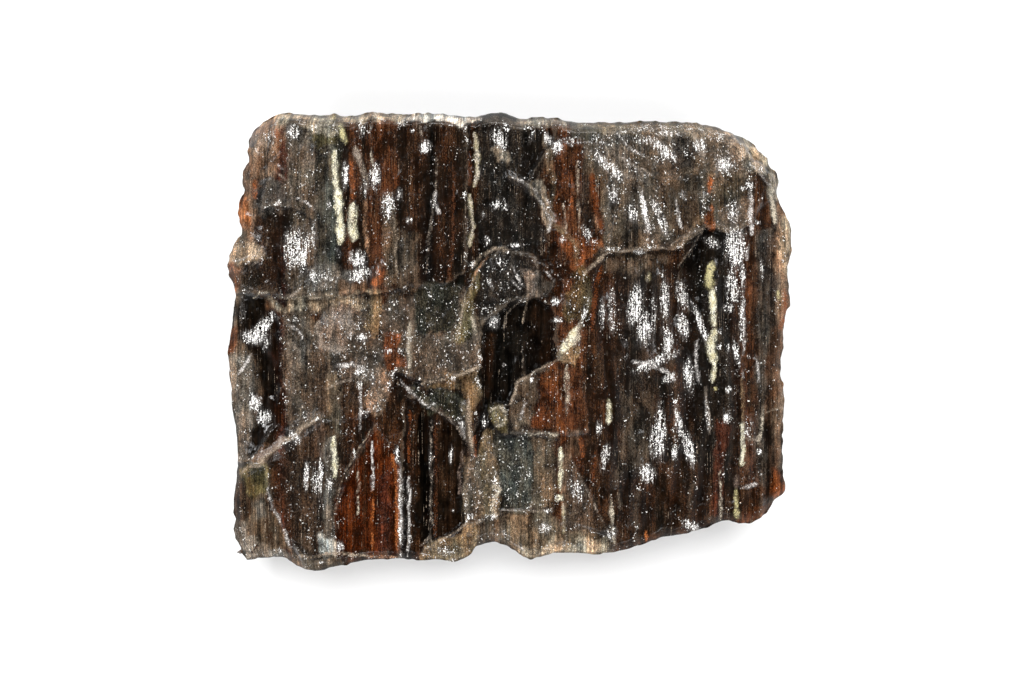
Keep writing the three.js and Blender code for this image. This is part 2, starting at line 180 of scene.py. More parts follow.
# Later sheets are broken out of, or stand on, the earlier ones.
SHEETS = [
    Sheet("banded upper left", [
        (-50, 52), (-7, 52), (-8.5, 30), (-9, 14), (-16, 11), (-23, 10.3), (-30, 9.6), (-40, 9), (-48, 8.6),
        (-48.8, 9.4), (-49.4, 24), (-53, 28), (-52, 36), (-50, 46)], rise=1.5, up=0.01),
    Sheet("left fringe", [
        (-64, 52), (-50, 52), (-50, 46), (-52, 36), (-53, 28), (-49.4, 24), (-48.8, 9.4),
        (-64, 12)], rise=-0.2, right=0.22),
    Sheet("dark hollow", [
        (-53, 27.5), (-50, 28.3), (-46, 27.8), (-42, 26), (-41.5, 18), (-43, 12), (-48.4, 8.8),
        (-50, 18)], rise=0.7, right=0.03, hollow=0.8),
    Sheet("left trough", [
        (-64, 9.5), (-55, 10), (-51.5, 9.5), (-49, 3), (-48.8, -10), (-50, -18), (-55, -25.5),
        (-64, -22)], rise=-0.7, hollow=1.8),
    Sheet("frosted left middle", [
        (-49, 8.5), (-40, 9), (-30, 9.9), (-23, 11), (-16, 11.8), (-10, 12.2), (-6, 4), (-5.5, -6),
        (-12, -7.5), (-18, -9.5), (-24, -7), (-28, -15), (-36, -17), (-41, -16.5), (-47, -20.5), (-50, -18),
        (-48.8, -10), (-49, 3)], rise=0.2, right=0.045, hollow=0.3),
    Sheet("lower left", [
        (-52, -26), (-47, -21), (-41, -17), (-36, -17), (-30, -15.5), (-29, -17.5), (-33, -25),
        (-37.5, -36), (-37.5, -46), (-43, -46.5), (-46, -43), (-49, -38),
        (-51, -33)], rise=-0.8, up=0.02, hollow=0.4),
    Sheet("lower left corner", [
        (-64, -26), (-55, -26), (-52, -26.5), (-51, -33), (-49, -38), (-46, -43), (-43, -52),
        (-64, -52)], rise=-2.2, right=0.24, up=0.08),
    Sheet("orange arrowhead", [
        (-29, -17.5), (-25, -24), (-23.3, -28), (-23.2, -52), (-37.5, -52), (-37.5, -36), (-33, -25.5),
        (-30.5, -21)], rise=0.2, right=0.02, up=0.01),
    Sheet("arch", [
        (-22, -12.3), (-18, -13.8), (-14.5, -15.2), (-11, -18.5), (-9.4, -22), (-9.4, -27), (-10.5, -32),
        (-9.8, -39), (-14, -42), (-18, -44.5), (-20, -52), (-23, -52),
        (-22.5, -28)], rise=-1.5, hollow=0.9),
    Sheet("facet over the arch", [
        (-21, -10), (-14, -10.2), (-11, -13), (-9.8, -19), (-14.5, -15.2), (-18, -13.8),
        (-22, -12.3)], rise=-0.2, up=0.15),
    Sheet("tan facet", [
        (-18, -9.6), (-12, -7.6), (-6, -5.6), (-6.5, -12), (-7.5, -24), (-9.6, -22), (-9.8, -19),
        (-11, -13), (-14, -10.2)], rise=0.8, right=0.08),
    Sheet("lip left of the notch", [
        (-20, -52), (-18, -44.5), (-14, -42), (-9.8, -39.3), (-5, -38), (-3, -37),
        (-4, -52)], rise=-1.4, up=0.18),
    Sheet("dark centre", [
        (-8.5, 52), (9, 52), (8, 36), (3, 33.6), (6, 30), (8.5, 25), (9, 20), (4, 19.6), (-4, 19.6),
        (-8, 15), (-9, 20)], rise=0.3, up=0.01, hollow=0.3),
    Sheet("middle lump", [
        (-11, 2), (-9, 10), (-7, 15), (-4.5, 18.5), (-1, 19.6), (4, 19), (8, 16), (9.5, 12), (8, 9),
        (4, 9.4), (0, 8), (-3, 5.5), (-6, 3), (-8, 1)], rise=1.2, right=-0.03, up=0.03, hollow=-0.9),
    Sheet("dark column", [
        (-6, 2), (-3, 5), (0.5, 7.6), (5, 9), (8.5, 7), (10, 3.5), (8.8, 0), (9.6, -3.6), (5, -6.5),
        (1, -8.5), (0, -13), (-5, -14.5), (-6.3, -8)], rise=-1.1, hollow=0.4),
    Sheet("brown shoulder", [
        (3, 33.6), (9, 42), (20, 42), (22, 24), (16, 22), (11, 23.5), (9, 25),
        (6.5, 30)], rise=1.5, hollow=0.2),
    Sheet("upper right", [
        (9, 52), (45, 52), (50, 42), (55, 34), (52, 25), (46, 22), (41, 23.6), (36, 19.6), (30, 18.8),
        (25, 18.4), (20, 18), (17, 20), (16, 22), (22, 24), (20, 42),
        (9, 42)], rise=1.2, right=-0.02, up=-0.02, hollow=0.2),
    Sheet("dark wedge", [
        (36, 16), (41.5, 24), (46, 22), (44, 14), (40, 6), (37, 9)], rise=-1.3, hollow=0.2),
    Sheet("saddle", [
        (11, 23.5), (16, 22), (17, 20), (20, 18), (18, 14), (15, 0), (13, -2), (9.5, 0), (11, 10),
        (10, 18)], rise=0.9, right=-0.04, up=0.02),
    Sheet("lower middle", [
        (1, -8.5), (5, -6.5), (10, -4), (15, 0), (17, -20), (12, -20), (4, -20), (0, -20),
        (0, -13)], rise=0.7, right=0.02),
    Sheet("slate panel", [
        (-3.5, -20.5), (4.5, -20.5), (10, -21), (10, -36), (4, -36),
        (-2, -36)], rise=-0.6, right=0.02, hollow=0.3),
    Sheet("lip right of the notch", [
        (-2, -36.5), (10, -37), (22, -42), (22, -52), (-3, -52)], rise=-1.1, up=0.14),
    Sheet("right rim", [(53, 28), (64, 34), (64, -40), (54, -40)], rise=-1.3, right=-0.2),
    Sheet("upper right rim", [
        (38, 52), (46, 44.5), (50, 41), (55, 35.5), (57, 31), (66, 31),
        (66, 52)], rise=-1.6, right=-0.12, up=-0.12),
]

# Upright ripples of the right-hand half.
RIPPLES = {"from": (16, -43), "to": (55, 18), "fade": 4, "spacing": 5.4, "height": 0.7, "sway": 1.6}


class Swelling(NamedTuple):
    """A knob or ridge: the points that it follows, its half width and its height."""

    name: str
    path: list
    width: float
    height: float


SWELLINGS = [
    Swelling("left knob", [(-58, 16.5), (-54.5, 17.8)], 2.6, 1.6),
    Swelling("round boss", [(-37, 2), (-36, 2.4)], 3.4, 1.4),
    Swelling("ridge under the trough", [(-57, -28), (-50, -24), (-47, -20.5), (-41, -16.5)], 1.5, 0.8),
    Swelling("orange chip", [(-29, 11.5), (-27.5, 16)], 1.1, 1),
    Swelling("pale spine", [(-8.5, -12), (-8.6, -18), (-7.6, -24)], 1.2, 0.5),
    Swelling("small boss", [(-2.6, -16.2), (-2.4, -16)], 1.9, 1),
    Swelling("shoulder ridge", [(0, 34.8), (3, 33.5), (6.5, 30), (9, 24.5)], 0.9, 0.8),
    Swelling("belly of the ripples", [(31, -8), (32, -26)], 10, 1.3),
]


class Scar(NamedTuple):
    """A shell-shaped scar bitten out of the rim: which edge, how far along it, how deep below the face, its
    radius and how much it takes."""

    edge: str
    at: float
    below: float
    radius: float
    bite: float


SCARS = [
    Scar("bottom", -38, 16, 34, 3.4), Scar("bottom", 20, 20, 40, 3.6), Scar("bottom", -4, 9, 9, 3.2),
    Scar("bottom", -21, 7, 7, 2), Scar("bottom", -50, 10, 10, 2.4), Scar("bottom", 38, 9, 12, 2.8),
    Scar("bottom", 50, 17, 15, 3.4), Scar("right", -16, 20, 36, 4), Scar("right", 22, 24, 30, 4.4),
    Scar("right", -30, 8, 8, 2.2), Scar("right", 5, 12, 14, 2.6), Scar("right", 36, 12, 10, 2.6),
    Scar("top", 36, 24, 38, 4.4), Scar("top", -4, 22, 26, 3.8), Scar("top", -38, 28, 40, 4.4),
    Scar("top", 16, 14, 9, 2.6), Scar("top", -20, 15, 12, 2.8), Scar("top", -49, 13, 10, 2.8),
    Scar("left", 26, 22, 32, 4), Scar("left", -22, 17, 36, 3.6), Scar("left", 3, 14, 12, 3),
    Scar("left", 40, 12, 9, 2.4), Scar("left", -38, 9, 8, 2.4),
]


class Patch(NamedTuple):
    """A part of the face with a look of its own: `cover` is how far its colour hides the bands, `frost` how
    sugary its surface is (0 is clean glass) and `soft` how wide its edge is."""

    name: str
    colour: str
    cover: float
    frost: float
    corners: list
    soft: float = 1.2


PATCHES = [
    # upper left
    Patch("left fringe", "fawn", 0.85, 0.35, [
        (-62, 50), (-49, 50), (-48.3, 46), (-49, 40), (-50, 34), (-53.5, 33), (-54, 27), (-54, 22),
        (-53, 19), (-62, 13)], 1.2),
    Patch("fringe dome", "ash", 0.9, 0.5, [
        (-54, 33), (-50, 34.6), (-47.5, 33), (-46, 29), (-46.5, 27.5), (-53.5, 27.5), (-54.5, 30)], 0.8),
    Patch("banded grey", "smoke", 0.6, 0.45, [
        (-48, 46), (-44, 45), (-41, 43), (-38.5, 41), (-38.5, 19), (-41, 12), (-46, 10.5), (-48.5, 12),
        (-46, 28), (-48, 34)], 1),
    Patch("slate band", "slate", 0.6, 0.3, [(-41.3, 40), (-38.2, 40), (-37.6, 20), (-40.8, 14)], 0.8),
    Patch("dark hollow", "ink", 0.9, 0.25, [
        (-53.5, 27.3), (-50, 28), (-46.3, 27.4), (-46.5, 23), (-48, 20), (-48.5, 10), (-52, 10.5),
        (-55.4, 11), (-56, 15), (-52.6, 17), (-52, 20), (-54, 23)], 1.0),
    # painted light: the ledge's upper side, lit; the olive shadow under it is painted shade
    Patch("ledge top", "sand", 0.8, 0.5, [
        (-44.5, 45.6), (-36.5, 45.8), (-36.6, 43.4), (-40, 43.2), (-42, 44)]),
    Patch("olive shadow", "olive", 0.8, 0.2, [(-41.5, 43.2), (-37, 43.3), (-37, 41), (-41, 41)]),
    Patch("streaked rust block", "mahogany", 0.75, 0.15, [
        (-29.6, 47), (-24, 47), (-23.8, 33), (-26, 30), (-29.2, 31)], 0.8),
    Patch("grey column", "taupe", 0.55, 0.6, [(-27.6, 31), (-24.6, 31), (-24.3, 10.5), (-27, 11)], 0.6),
    Patch("brown column foot", "smoke", 0.7, 0.3, [
        (-24.2, 24), (-19.5, 22), (-19.3, 11), (-24, 10.5)], 1.2),
    Patch("left knob", "sand", 0.75, 0.5, [
        (-63, 23), (-57, 22.4), (-54.4, 21.4), (-52.6, 19.8), (-52.4, 18.2), (-54, 16.2), (-57, 15.2),
        (-63, 14)], 0.9),
    Patch("ember under the knob", "copper", 0.6, 0.2, [
        (-63, 15.6), (-58, 15.4), (-56.8, 13), (-58, 10.6), (-63, 10.6)], 1.4),
    Patch("brown hollow", "umber", 0.6, 0.3, [
        (-54.4, 26.4), (-50, 26.6), (-48.6, 10), (-52, 11), (-54, 15), (-53, 20)], 1.2),
    Patch("ember on the rim", "amber", 0.7, 0, [
        (-58.5, 30.5), (-56, 30), (-55.2, 27), (-55.6, 24.5), (-58.5, 24)], 1.2),
    Patch("olive in the fringe", "mahogany", 0.5, 0.2, [
        (-54, 39.5), (-51, 39), (-50.5, 36.5), (-53.5, 36)], 1.2),
    Patch("ledge foot", "sand", 0.75, 0.35, [
        (-51.5, 10), (-48, 8.9), (-30, 9.4), (-30, 7.6), (-39, 6.6), (-45, 5.4), (-49.5, 6.6)], 0.7),
    # painted light: the lit top of the slab on the ledge
    Patch("pale slab on the ledge", "dove", 0.7, 0.7, [
        (-43, 15), (-40, 15.6), (-36.4, 14.6), (-31, 14.8), (-31, 12.8), (-36.4, 12.8), (-37, 10.6),
        (-43, 11)], 0.8),
    Patch("bruise on the ledge", "fawn", 0.5, 0.2, [
        (-36, 12.5), (-31, 12.6), (-30.8, 9.8), (-36.5, 9.8)], 0.8),
    Patch("orange chip", "copper", 0.9, 0.1, [
        (-30, 11), (-29.6, 13), (-28.1, 16), (-27.2, 15), (-27.3, 12), (-28.6, 10.5)], 0.35),
    # top rim: partly its own pale colours, partly painted light where the top bevel faces the light
    Patch("top rim, left", "sand", 0.9, 0.2, [
        (-53, 54), (-30, 54), (-30, 47.2), (-37, 46.3), (-48, 46), (-53, 45.6)], 0.6),
    Patch("top rim, crumbs", "sand", 0.9, 0.7, [
        (-30, 54), (-20, 54), (-20.5, 47.6), (-24, 46.8), (-30, 47.4)]),
    # painted reflection: the silver strip of the top bevel
    Patch("top rim, silver", "silver", 0.95, 0, [
        (-24.5, 45.6), (-20, 46.3), (-7, 46.3), (-6, 47), (-8, 54), (-20, 54), (-21, 47.8),
        (-24.5, 46.4)], 0.4),
    Patch("top rim, dark bump", "soot", 0.9, 0.6, [(-8, 54), (3, 54), (3, 46), (-3, 45.6), (-6.5, 46.8)]),
    Patch("top rim, rose", "pearl", 0.9, 0.3, [(1.5, 54), (13, 54), (13, 45.4), (5, 45), (2, 46)]),
    Patch("top rim, right", "tan", 0.85, 0.5, [(13, 54), (38, 54), (38, 44), (25, 44), (13, 45.4)]),
    Patch("top rim, olive", "olive", 0.8, 0.3, [(21.5, 46.5), (25.5, 46.5), (25, 44.2), (22.3, 44.2)], 0.7),
    Patch("top rim, peach", "sand", 0.85, 0.5, [(37, 54), (47, 54), (46, 43.5), (42, 43), (38, 43.3)], 0.8),
    Patch("upper right rim", "sand", 0.9, 0.25, [
        (45, 46), (47, 43.6), (50.5, 40.6), (54.2, 37.2), (58, 37), (58, 46)], 0.8),
    Patch("purple facet", "pearl", 0.8, 0.1, [
        (47, 43.5), (50.5, 40.5), (54.5, 37), (57.5, 35.5), (57, 30), (54, 33), (50.5, 37.5),
        (46, 41)], 0.6),
    # left middle
    Patch("trough", "black", 0.9, 0, [
        (-56.5, 9.5), (-52, 9.5), (-49.2, 4), (-49, -10), (-48.6, -18), (-51, -22), (-55, -25),
        (-55.5, -20), (-53.3, -12), (-54, -4), (-58, 0), (-58.5, 6)], 1.2),
    # painted reflection: a grey sheen on the trough's left wall
    Patch("trough side", "dove", 0.5, 0.35, [
        (-62, -4), (-55.5, -3), (-54.5, -10), (-55.5, -20), (-55.5, -26), (-58, -28), (-62, -28)], 1.4),
    Patch("trough red", "liver", 0.95, 0, [(-50.6, -3), (-49, -3), (-48.4, -19), (-50.6, -20)], 0.8),
    Patch("rim red", "rust", 0.7, 0.3, [(-61, 3), (-58.4, 3), (-58.6, -3), (-61, -4)], 0.8),
    Patch("frosted middle", "smoke", 0.8, 0.75, [
        (-49, 6), (-45, 5), (-39, 6.3), (-30, 7.2), (-22, 9.5), (-10, 11), (-6, 3), (-5.7, -6), (-12, -7.6),
        (-18, -9.4), (-24, -7), (-27, -14), (-34, -16), (-41, -16.5), (-47.5, -20), (-48.4, -10),
        (-48.8, 2)], 0.8),
    Patch("frosted facet, grey", "dove", 0.4, 0.4, [
        (-47.6, 3.4), (-44.4, 3.4), (-43.6, -4), (-46, -9), (-47.8, -6)], 1.4),
    Patch("frosted facet, dark", "umber", 0.4, 0.4, [
        (-43.6, -3.4), (-38.4, -3.6), (-38, -16), (-42, -16), (-45, -9)], 2.0),
    Patch("frosted facet, pink", "rose", 0.5, 0.7, [
        (-37.4, -4.6), (-30.6, -4.2), (-30.4, -8), (-34, -8.4), (-37.4, -6.6)], 1.2),
    Patch("round boss", "rose", 0.7, 0.6, [
        (-41, 1), (-40.5, 3.5), (-39, 5.6), (-36.5, 6.6), (-34.5, 5.6), (-33.6, 2), (-34.5, -1),
        (-37, -2.2), (-40, -1.2)], 0.6),
    Patch("heart of the boss", "fawn", 0.4, 0.6, [(-38, 2.8), (-35.8, 2.6), (-35.6, 0.4), (-37.4, 0)]),
    Patch("brown notch", "umber", 0.95, 0.1, [(-42.8, 5.2), (-40.6, 4.8), (-41, 2.6), (-42.4, 2.8)]),
    Patch("peach column", "tan", 0.75, 0.4, [
        (-30, 9), (-27.6, 9.3), (-27.6, 3), (-28.4, 0), (-30.5, 2)], 0.7),
    Patch("rust block", "rust", 0.8, 0.35, [(-27, 0.8), (-23.2, 1), (-22.6, -6.5), (-26.5, -6.8)], 0.6),
    Patch("mottled green", "bottle", 0.95, 0.6, [
        (-20, 12), (-10.5, 12), (-11.5, 6), (-12.5, 1), (-20.5, 0.5)], 1),
    Patch("pale crumbs", "fawn", 0.95, 0.9, [
        (-30.6, -13), (-28.5, -6), (-27, -7), (-26, -10), (-25.6, -13.5), (-28, -16), (-30.5, -15.5)], 0.5),
    Patch("grey column below", "taupe", 0.6, 0.2, [
        (-39.2, -7.5), (-36.6, -7.5), (-36.6, -20), (-39, -20)], 0.6),
    Patch("dark gap", "umber", 0.7, 0.3, [
        (-36.3, -9), (-30.8, -9), (-31, -18), (-33, -24), (-36, -24)], 0.8),
    # lower left
    Patch("olive corner", "olive", 0.9, 0.15, [
        (-57.5, -27.5), (-52, -26.3), (-51.4, -32.5), (-54.5, -34), (-57.5, -31)], 0.8),
    Patch("brown corner", "umber", 0.8, 0.1, [
        (-61, -31), (-57, -31.5), (-54.8, -34.5), (-55, -38.5), (-58, -40), (-61, -40)], 0.8),
    # painted reflection: a soft grey sheen on the smooth facets of the corner
    Patch("pale lens", "smoke", 0.95, 0.05, [
        (-55, -33.5), (-51.8, -32), (-51, -36), (-48.6, -40), (-46.6, -45), (-50, -46), (-53.5, -44),
        (-55, -40), (-55.3, -37)], 0.5),
    Patch("pale lens, top", "dove", 0.6, 0.1, [
        (-54.6, -34.4), (-52, -33.6), (-52, -37), (-54.2, -38)], 1.0),
    Patch("rose corner", "dove", 0.9, 0.5, [
        (-61, -39.5), (-56, -39.8), (-53.6, -43), (-56, -48), (-61, -48)], 0.5),
    Patch("fawn corner foot", "dove", 0.9, 0.5, [
        (-56.5, -48), (-53.5, -43.3), (-50, -45.4), (-47.5, -46), (-50, -48)], 0.5),
    Patch("banded lower left", "umber", 0.6, 0.3, [
        (-51.8, -26), (-47, -21.4), (-41, -17.5), (-37, -18), (-33.5, -26), (-36.8, -34), (-37.6, -45),
        (-42, -46), (-46, -44), (-49, -38.5), (-51.2, -33)], 0.6),
    Patch("slate stripe", "dove", 0.75, 0.3, [
        (-39.6, -20), (-37.8, -20), (-37.8, -41), (-39.6, -41.5)], 0.6),
    Patch("grey foot", "white", 0.9, 0.3, [(-40.3, -42), (-38, -41.5), (-37.4, -45.5), (-40.5, -46)]),
    Patch("lip under the bands", "smoke", 0.9, 0.1, [
        (-47.5, -46.2), (-43, -46.3), (-36, -45.6), (-33, -52), (-48, -52)]),
    # arrowhead and arch
    Patch("arrowhead", "garnet", 0.85, 0.12, [
        (-29.3, -18.5), (-31.5, -22.5), (-34, -26), (-36, -31), (-37.2, -36), (-37.6, -45), (-23.6, -46),
        (-23.6, -28), (-25.3, -24)], 0.45),
    Patch("arrowhead, left", "garnet", 0.5, 0.15, [
        (-34.2, -27), (-37, -35), (-37.6, -45), (-34.2, -45)], 0.8),
    Patch("arrowhead, red", "maroon", 0.8, 0.2, [
        (-28.3, -28), (-25.6, -27), (-25.6, -45.5), (-28.3, -45.5)], 0.8),
    Patch("dark orange wedge", "umber", 0.9, 0.15, [
        (-28.6, -16), (-25, -12), (-22.3, -12.5), (-22.5, -25), (-25, -23)], 0.6),
    Patch("arch black", "black", 0.97, 0, [
        (-19.8, -13.8), (-17.6, -14.6), (-17.5, -43), (-19.8, -44.8)], 0.6),
    Patch("arch brown", "ink", 0.65, 0.05, [
        (-14.9, -15.3), (-11.2, -18.6), (-9.8, -22), (-10.8, -26), (-10.4, -38.6), (-14, -41.5), (-16, -43),
        (-15.4, -24)], 0.5),
    Patch("moss facet", "moss", 0.85, 0.5, [
        (-21, -10), (-14, -10.4), (-11, -12.2), (-9.7, -14), (-9.4, -18.6), (-12, -16.6), (-14.5, -15.1),
        (-18, -13.8), (-21.5, -12)], 0.5),
    Patch("tan facet", "tan", 0.6, 0.25, [
        (-18.5, -9.5), (-12, -7.7), (-6, -5.8), (-6.6, -11), (-7.8, -18), (-9, -13), (-11, -11.2),
        (-14, -10.2)], 0.5),
    Patch("lip left of the notch", "tan", 0.9, 0.4, [
        (-20, -50), (-19, -45.3), (-15.5, -43), (-12, -41), (-9, -39), (-6, -38.6), (-6.5, -44),
        (-9, -49)], 0.5),
    Patch("notch facet", "smoke", 0.85, 0.2, [
        (-6.5, -38.4), (-2, -37), (1, -37.2), (0.4, -43), (-1.5, -46), (-7, -46)]),
    Patch("red crumbs", "taupe", 0.7, 0.8, [(-10.2, -26), (-6, -24.5), (-5.2, -38), (-9.8, -38.5)], 0.8),
    Patch("pale crumbs below", "tan", 0.75, 0.9, [
        (-6.2, -20), (-4, -20), (-3.2, -27), (-1.5, -30.5), (-2, -37.5), (-6, -38), (-5.6, -28)], 0.6),
    # centre
    Patch("black sheet", "soot", 0.85, 0.25, [
        (-7, 44), (-3, 45), (7.5, 43), (7.7, 36), (3.5, 32.5), (5, 29.5), (7.5, 24.5), (7.8, 20.5),
        (-4, 20), (-7.2, 22)], 0.8),
    Patch("black block", "black", 0.25, 0.15, [(1.5, 43), (7.3, 43.5), (7.6, 34.5), (2.2, 34.8)], 0.6),
    Patch("pink-grey patch", "pearl", 0.95, 0.15, [
        (-3.6, 40), (-2, 41), (-0.4, 40), (0, 38), (-0.8, 37), (-2.2, 38)], 0.35),
    Patch("shoulder", "taupe", 0.7, 0.3, [(7.6, 42), (9.6, 42), (9.7, 23), (8.6, 24)], 0.5),
    Patch("shoulder rust", "mahogany", 0.9, 0.2, [(9.6, 39), (13.9, 39), (14.1, 22.5), (9.8, 23.5)], 0.5),
    Patch("shoulder facet", "pearl", 0.75, 0.2, [
        (3.2, 33.5), (6.4, 33), (7.3, 31), (8, 28), (10, 24.6), (8, 22.6), (7.2, 26), (5.4, 30)], 0.5),
    Patch("orange saddle", "copper", 0.45, 0.35, [
        (10, 22.5), (14, 22.5), (18, 21.5), (20.5, 19), (17.5, 17), (14, 13.5), (12.5, 18)], 0.8),
    Patch("arch rib, left", "olive", 0.75, 0.5, [
        (-11.6, 0), (-10.3, 8), (-8.8, 13), (-7, 16.6), (-5.5, 16), (-7, 12), (-8, 5), (-9, 0)], 0.8),
    Patch("lump", "soot", 0.8, 0.5, [
        (-6, 15), (-3, 18.5), (2, 18.5), (9, 13), (8, 8.5), (4, 9), (0, 7.6), (-4, 4), (-6, 3),
        (-7, 9)], 0.8),
    Patch("fan facet", "rose", 0.8, 0.4, [
        (3, 14.6), (6.6, 15.2), (9.4, 12.4), (6, 8), (4, 7.3), (3.4, 10)], 0.4),
    Patch("fan facet, shade", "ash", 0.8, 0.1, [(6, 15), (9.4, 12.6), (8, 9.6), (5.6, 8)], 0.4),
    Patch("dark column", "black", 0.75, 0.12, [
        (-5.7, -2), (-4, 3), (-1.5, 5), (0.8, 7.8), (5, 8.4), (8.6, 7), (9.6, 3.5), (8.8, 0), (9.4, -4),
        (5, -6.6), (1, -8.6), (0, -13), (-5, -14), (-6, -8)], 1.6),
    Patch("column brown", "umber", 0.7, 0.2, [
        (-6.3, 1), (-3, 1), (-3.5, -6), (-5.2, -13.5), (-6.6, -12)], 0.8),
    Patch("eye", "olive", 0.8, 0.4, [
        (-4.6, -14.6), (-2, -13.6), (-0.6, -15.4), (-1.2, -18.4), (-3.8, -18.8)], 0.5),
    Patch("silver side", "smoke", 0.8, 0.35, [
        (0, -13), (1.2, -8.8), (5, -7), (6, -7.5), (5, -13), (4.4, -19), (0.3, -19)], 0.7),
    Patch("orange side", "rust", 0.55, 0.35, [(6, -7), (9.6, -5), (11.2, -8), (11, -19), (4.8, -19)], 0.9),
    Patch("slate panel", "slate", 0.95, 0.7, [
        (-2.8, -20.4), (4.8, -20.6), (5, -36), (-0.6, -36), (-1.6, -31), (-3.4, -26), (-4, -22)], 1.2),
    Patch("beside the slate", "taupe", 0.85, 0.45, [(5, -20.6), (10, -21), (9.8, -36), (5, -36)], 0.5),
    Patch("amber by the streak", "rust", 0.7, 0.2, [
        (9.6, -17), (11.6, -17), (11.8, -22), (9.8, -21.5)], 0.6),
    Patch("fan beside the slate", "smoke", 0.7, 0.4, [
        (11.4, -24), (13, -25.6), (16, -31), (19, -36), (21.5, -41.5), (12, -41), (11, -34)], 0.8),
    Patch("plum facet", "smoke", 0.6, 0.1, [(12, -19), (14.6, -19), (14.6, -25), (12.2, -25)], 0.5),
    Patch("lip right of the notch", "taupe", 0.9, 0.25, [
        (-0.5, -36.3), (9, -36.8), (12, -41), (22, -42), (22, -50), (0, -50)]),
    Patch("beige foot", "sand", 0.8, 0.35, [(2, -44), (10, -43), (22, -42.6), (22, -50), (3, -50)], 0.8),
    # cream in the saddle
    Patch("sage saddle", "olive", 0.45, 0.6, [
        (11.6, 12), (15.8, 15), (17.4, 9), (16, 3), (12, 3.5), (11, 8)], 0.8),
    Patch("bone crumbs", "tan", 0.8, 0.8, [(9.8, -1.6), (14.6, -1.8), (13.6, -5.6), (10, -4.4)], 0.6),
    # right
    Patch("grey sheet", "taupe", 0.62, 0.75, [
        (15, 42), (15.5, 46), (40, 46), (48, 42), (52, 34), (51, 23.5), (46, 22.4), (41.3, 24), (36, 20),
        (30, 19.2), (20.5, 18.8), (19.5, 24), (19.3, 34), (15, 36)], 0.8),
    Patch("sheet, blue", "slate", 0.75, 0.2, [(13, 46), (20, 46), (20.4, 42.4), (16, 41.6), (13, 43)], 0.8),
    Patch("sheet, mauve", "dove", 0.6, 0.5, [(22.5, 44), (27, 43), (29, 39), (24, 38.6), (21.6, 41)], 0.6),
    Patch("sheet, dark column", "soot", 0.75, 0.2, [(14.6, 38.4), (17, 38.4), (17.4, 24), (14.8, 24)], 0.6),
    Patch("sheet, dark diagonal", "dove", 0.5, 0.4, [
        (19.6, 41), (22, 41), (31, 34), (30, 32.6), (24, 35), (19.8, 38)], 0.8),
    Patch("sheet, ash stripes", "ash", 0.75, 0.3, [
        (23.6, 33.4), (27.4, 33), (27.8, 20), (23.6, 19.6)], 0.6),
    Patch("sheet, dark block", "soot", 0.6, 0.3, [
        (32.8, 33.4), (40.2, 34), (40.8, 26), (36, 22.4), (33, 24)], 0.8),
    Patch("sheet, bottle corner", "bottle", 0.6, 0.3, [(43.6, 34), (50, 36), (50.4, 30), (44, 28.6)], 1.0),
    Patch("slate hollow", "ash", 0.9, 0.5, [
        (35, 43), (38.6, 43.5), (40, 40), (39.6, 36), (36.5, 35.6), (34.6, 38)], 0.8),
    Patch("sheet shade", "soot", 0.3, 0.2, [(23, 26.5), (27, 26), (28.4, 21), (27, 20), (22.5, 21)], 0.9),
    Patch("sheet shade, right", "soot", 0.3, 0.2, [
        (36.2, 31), (40, 31), (41, 25.5), (38, 24), (36, 25)], 0.7),
    Patch("ledge shade", "smoke", 0.7, 0.2, [
        (19, 17.6), (24, 18.3), (33.6, 19), (33, 16), (25, 14.6), (20, 13.6)], 2.2),
    # painted shadow: the wedge under the ledge of the upper right sheet
    Patch("dark wedge", "black", 0.75, 0.15, [
        (35.8, 15.8), (38.2, 18.4), (41, 23.4), (43, 22.3), (41.3, 19), (40.6, 16), (38.4, 13.6)], 0.5),
    Patch("hollow round the cream", "ink", 0.85, 0.1, [
        (40.8, 18), (45.4, 18), (45, 10), (41.8, 7), (40.6, 12)], 0.8),
    Patch("rust strip", "umber", 0.7, 0.2, [(33, 20), (34.8, 20.4), (34.6, 11), (33, 11)], 0.6),
    Patch("sheet rust", "copper", 1.0, 0.2, [
        (42, 29.4), (43.2, 29.6), (43.9, 25), (43.5, 22.2), (42.3, 22.2), (41.8, 25)], 0.4),
    Patch("sheet rust, small", "copper", 0.85, 0.3, [
        (41.6, 35.4), (42.9, 35.4), (42.4, 31.8), (41.7, 31.8)], 0.4),
    Patch("brown bay", "umber", 0.95, 0.1, [(52, 34), (54.6, 34), (55.2, 24), (52, 23.6)], 0.7),
    Patch("rust seam", "umber", 0.6, 0.1, [(50.6, 22), (52.4, 22), (52.2, -20), (50.2, -20)], 0.6),
    Patch("smoky glass, low", "smoke", 0.35, 0.3, [
        (23.5, -11), (30.5, -11), (30.5, -27), (23.5, -27)], 1.4),
    Patch("slate seam", "ash", 0.7, 0.2, [(52.6, 22), (54.4, 22), (54.2, -24), (52.4, -24)], 0.6),
    Patch("olive seam", "umber", 0.5, 0.2, [(54.6, 22), (57, 22), (56.6, -18), (54.4, -18)], 0.8),
    Patch("right rim", "fawn", 0.8, 0.2, [
        (56.6, 30), (62, 30), (62, -36), (56.4, -34), (56.2, -10), (56.8, 10)], 1.6),
    Patch("right rim, pale", "sand", 0.8, 0.2, [(57.6, 27), (62, 27), (62, 14), (58.2, 14)], 1.2),
    Patch("right rim, umber", "umber", 0.7, 0.1, [(54.6, 2), (57.2, 2), (57, -33), (54.2, -33)], 1.2),
    Patch("right rim, beak", "rust", 0.85, 0.05, [(55.5, -27), (60, -28), (60, -34), (55, -34)], 1.2),
    Patch("brown corner, right", "umber", 0.85, 0.1, [
        (47, -31), (55, -31), (56, -36), (52, -42), (46, -42)], 1),
    Patch("right corner foot", "mahogany", 0.8, 0.1, [
        (48, -37.3), (53.5, -36), (58, -34), (56, -42), (46, -42)], 0.8),
    Patch("brown foot", "umber", 0.6, 0.25, [
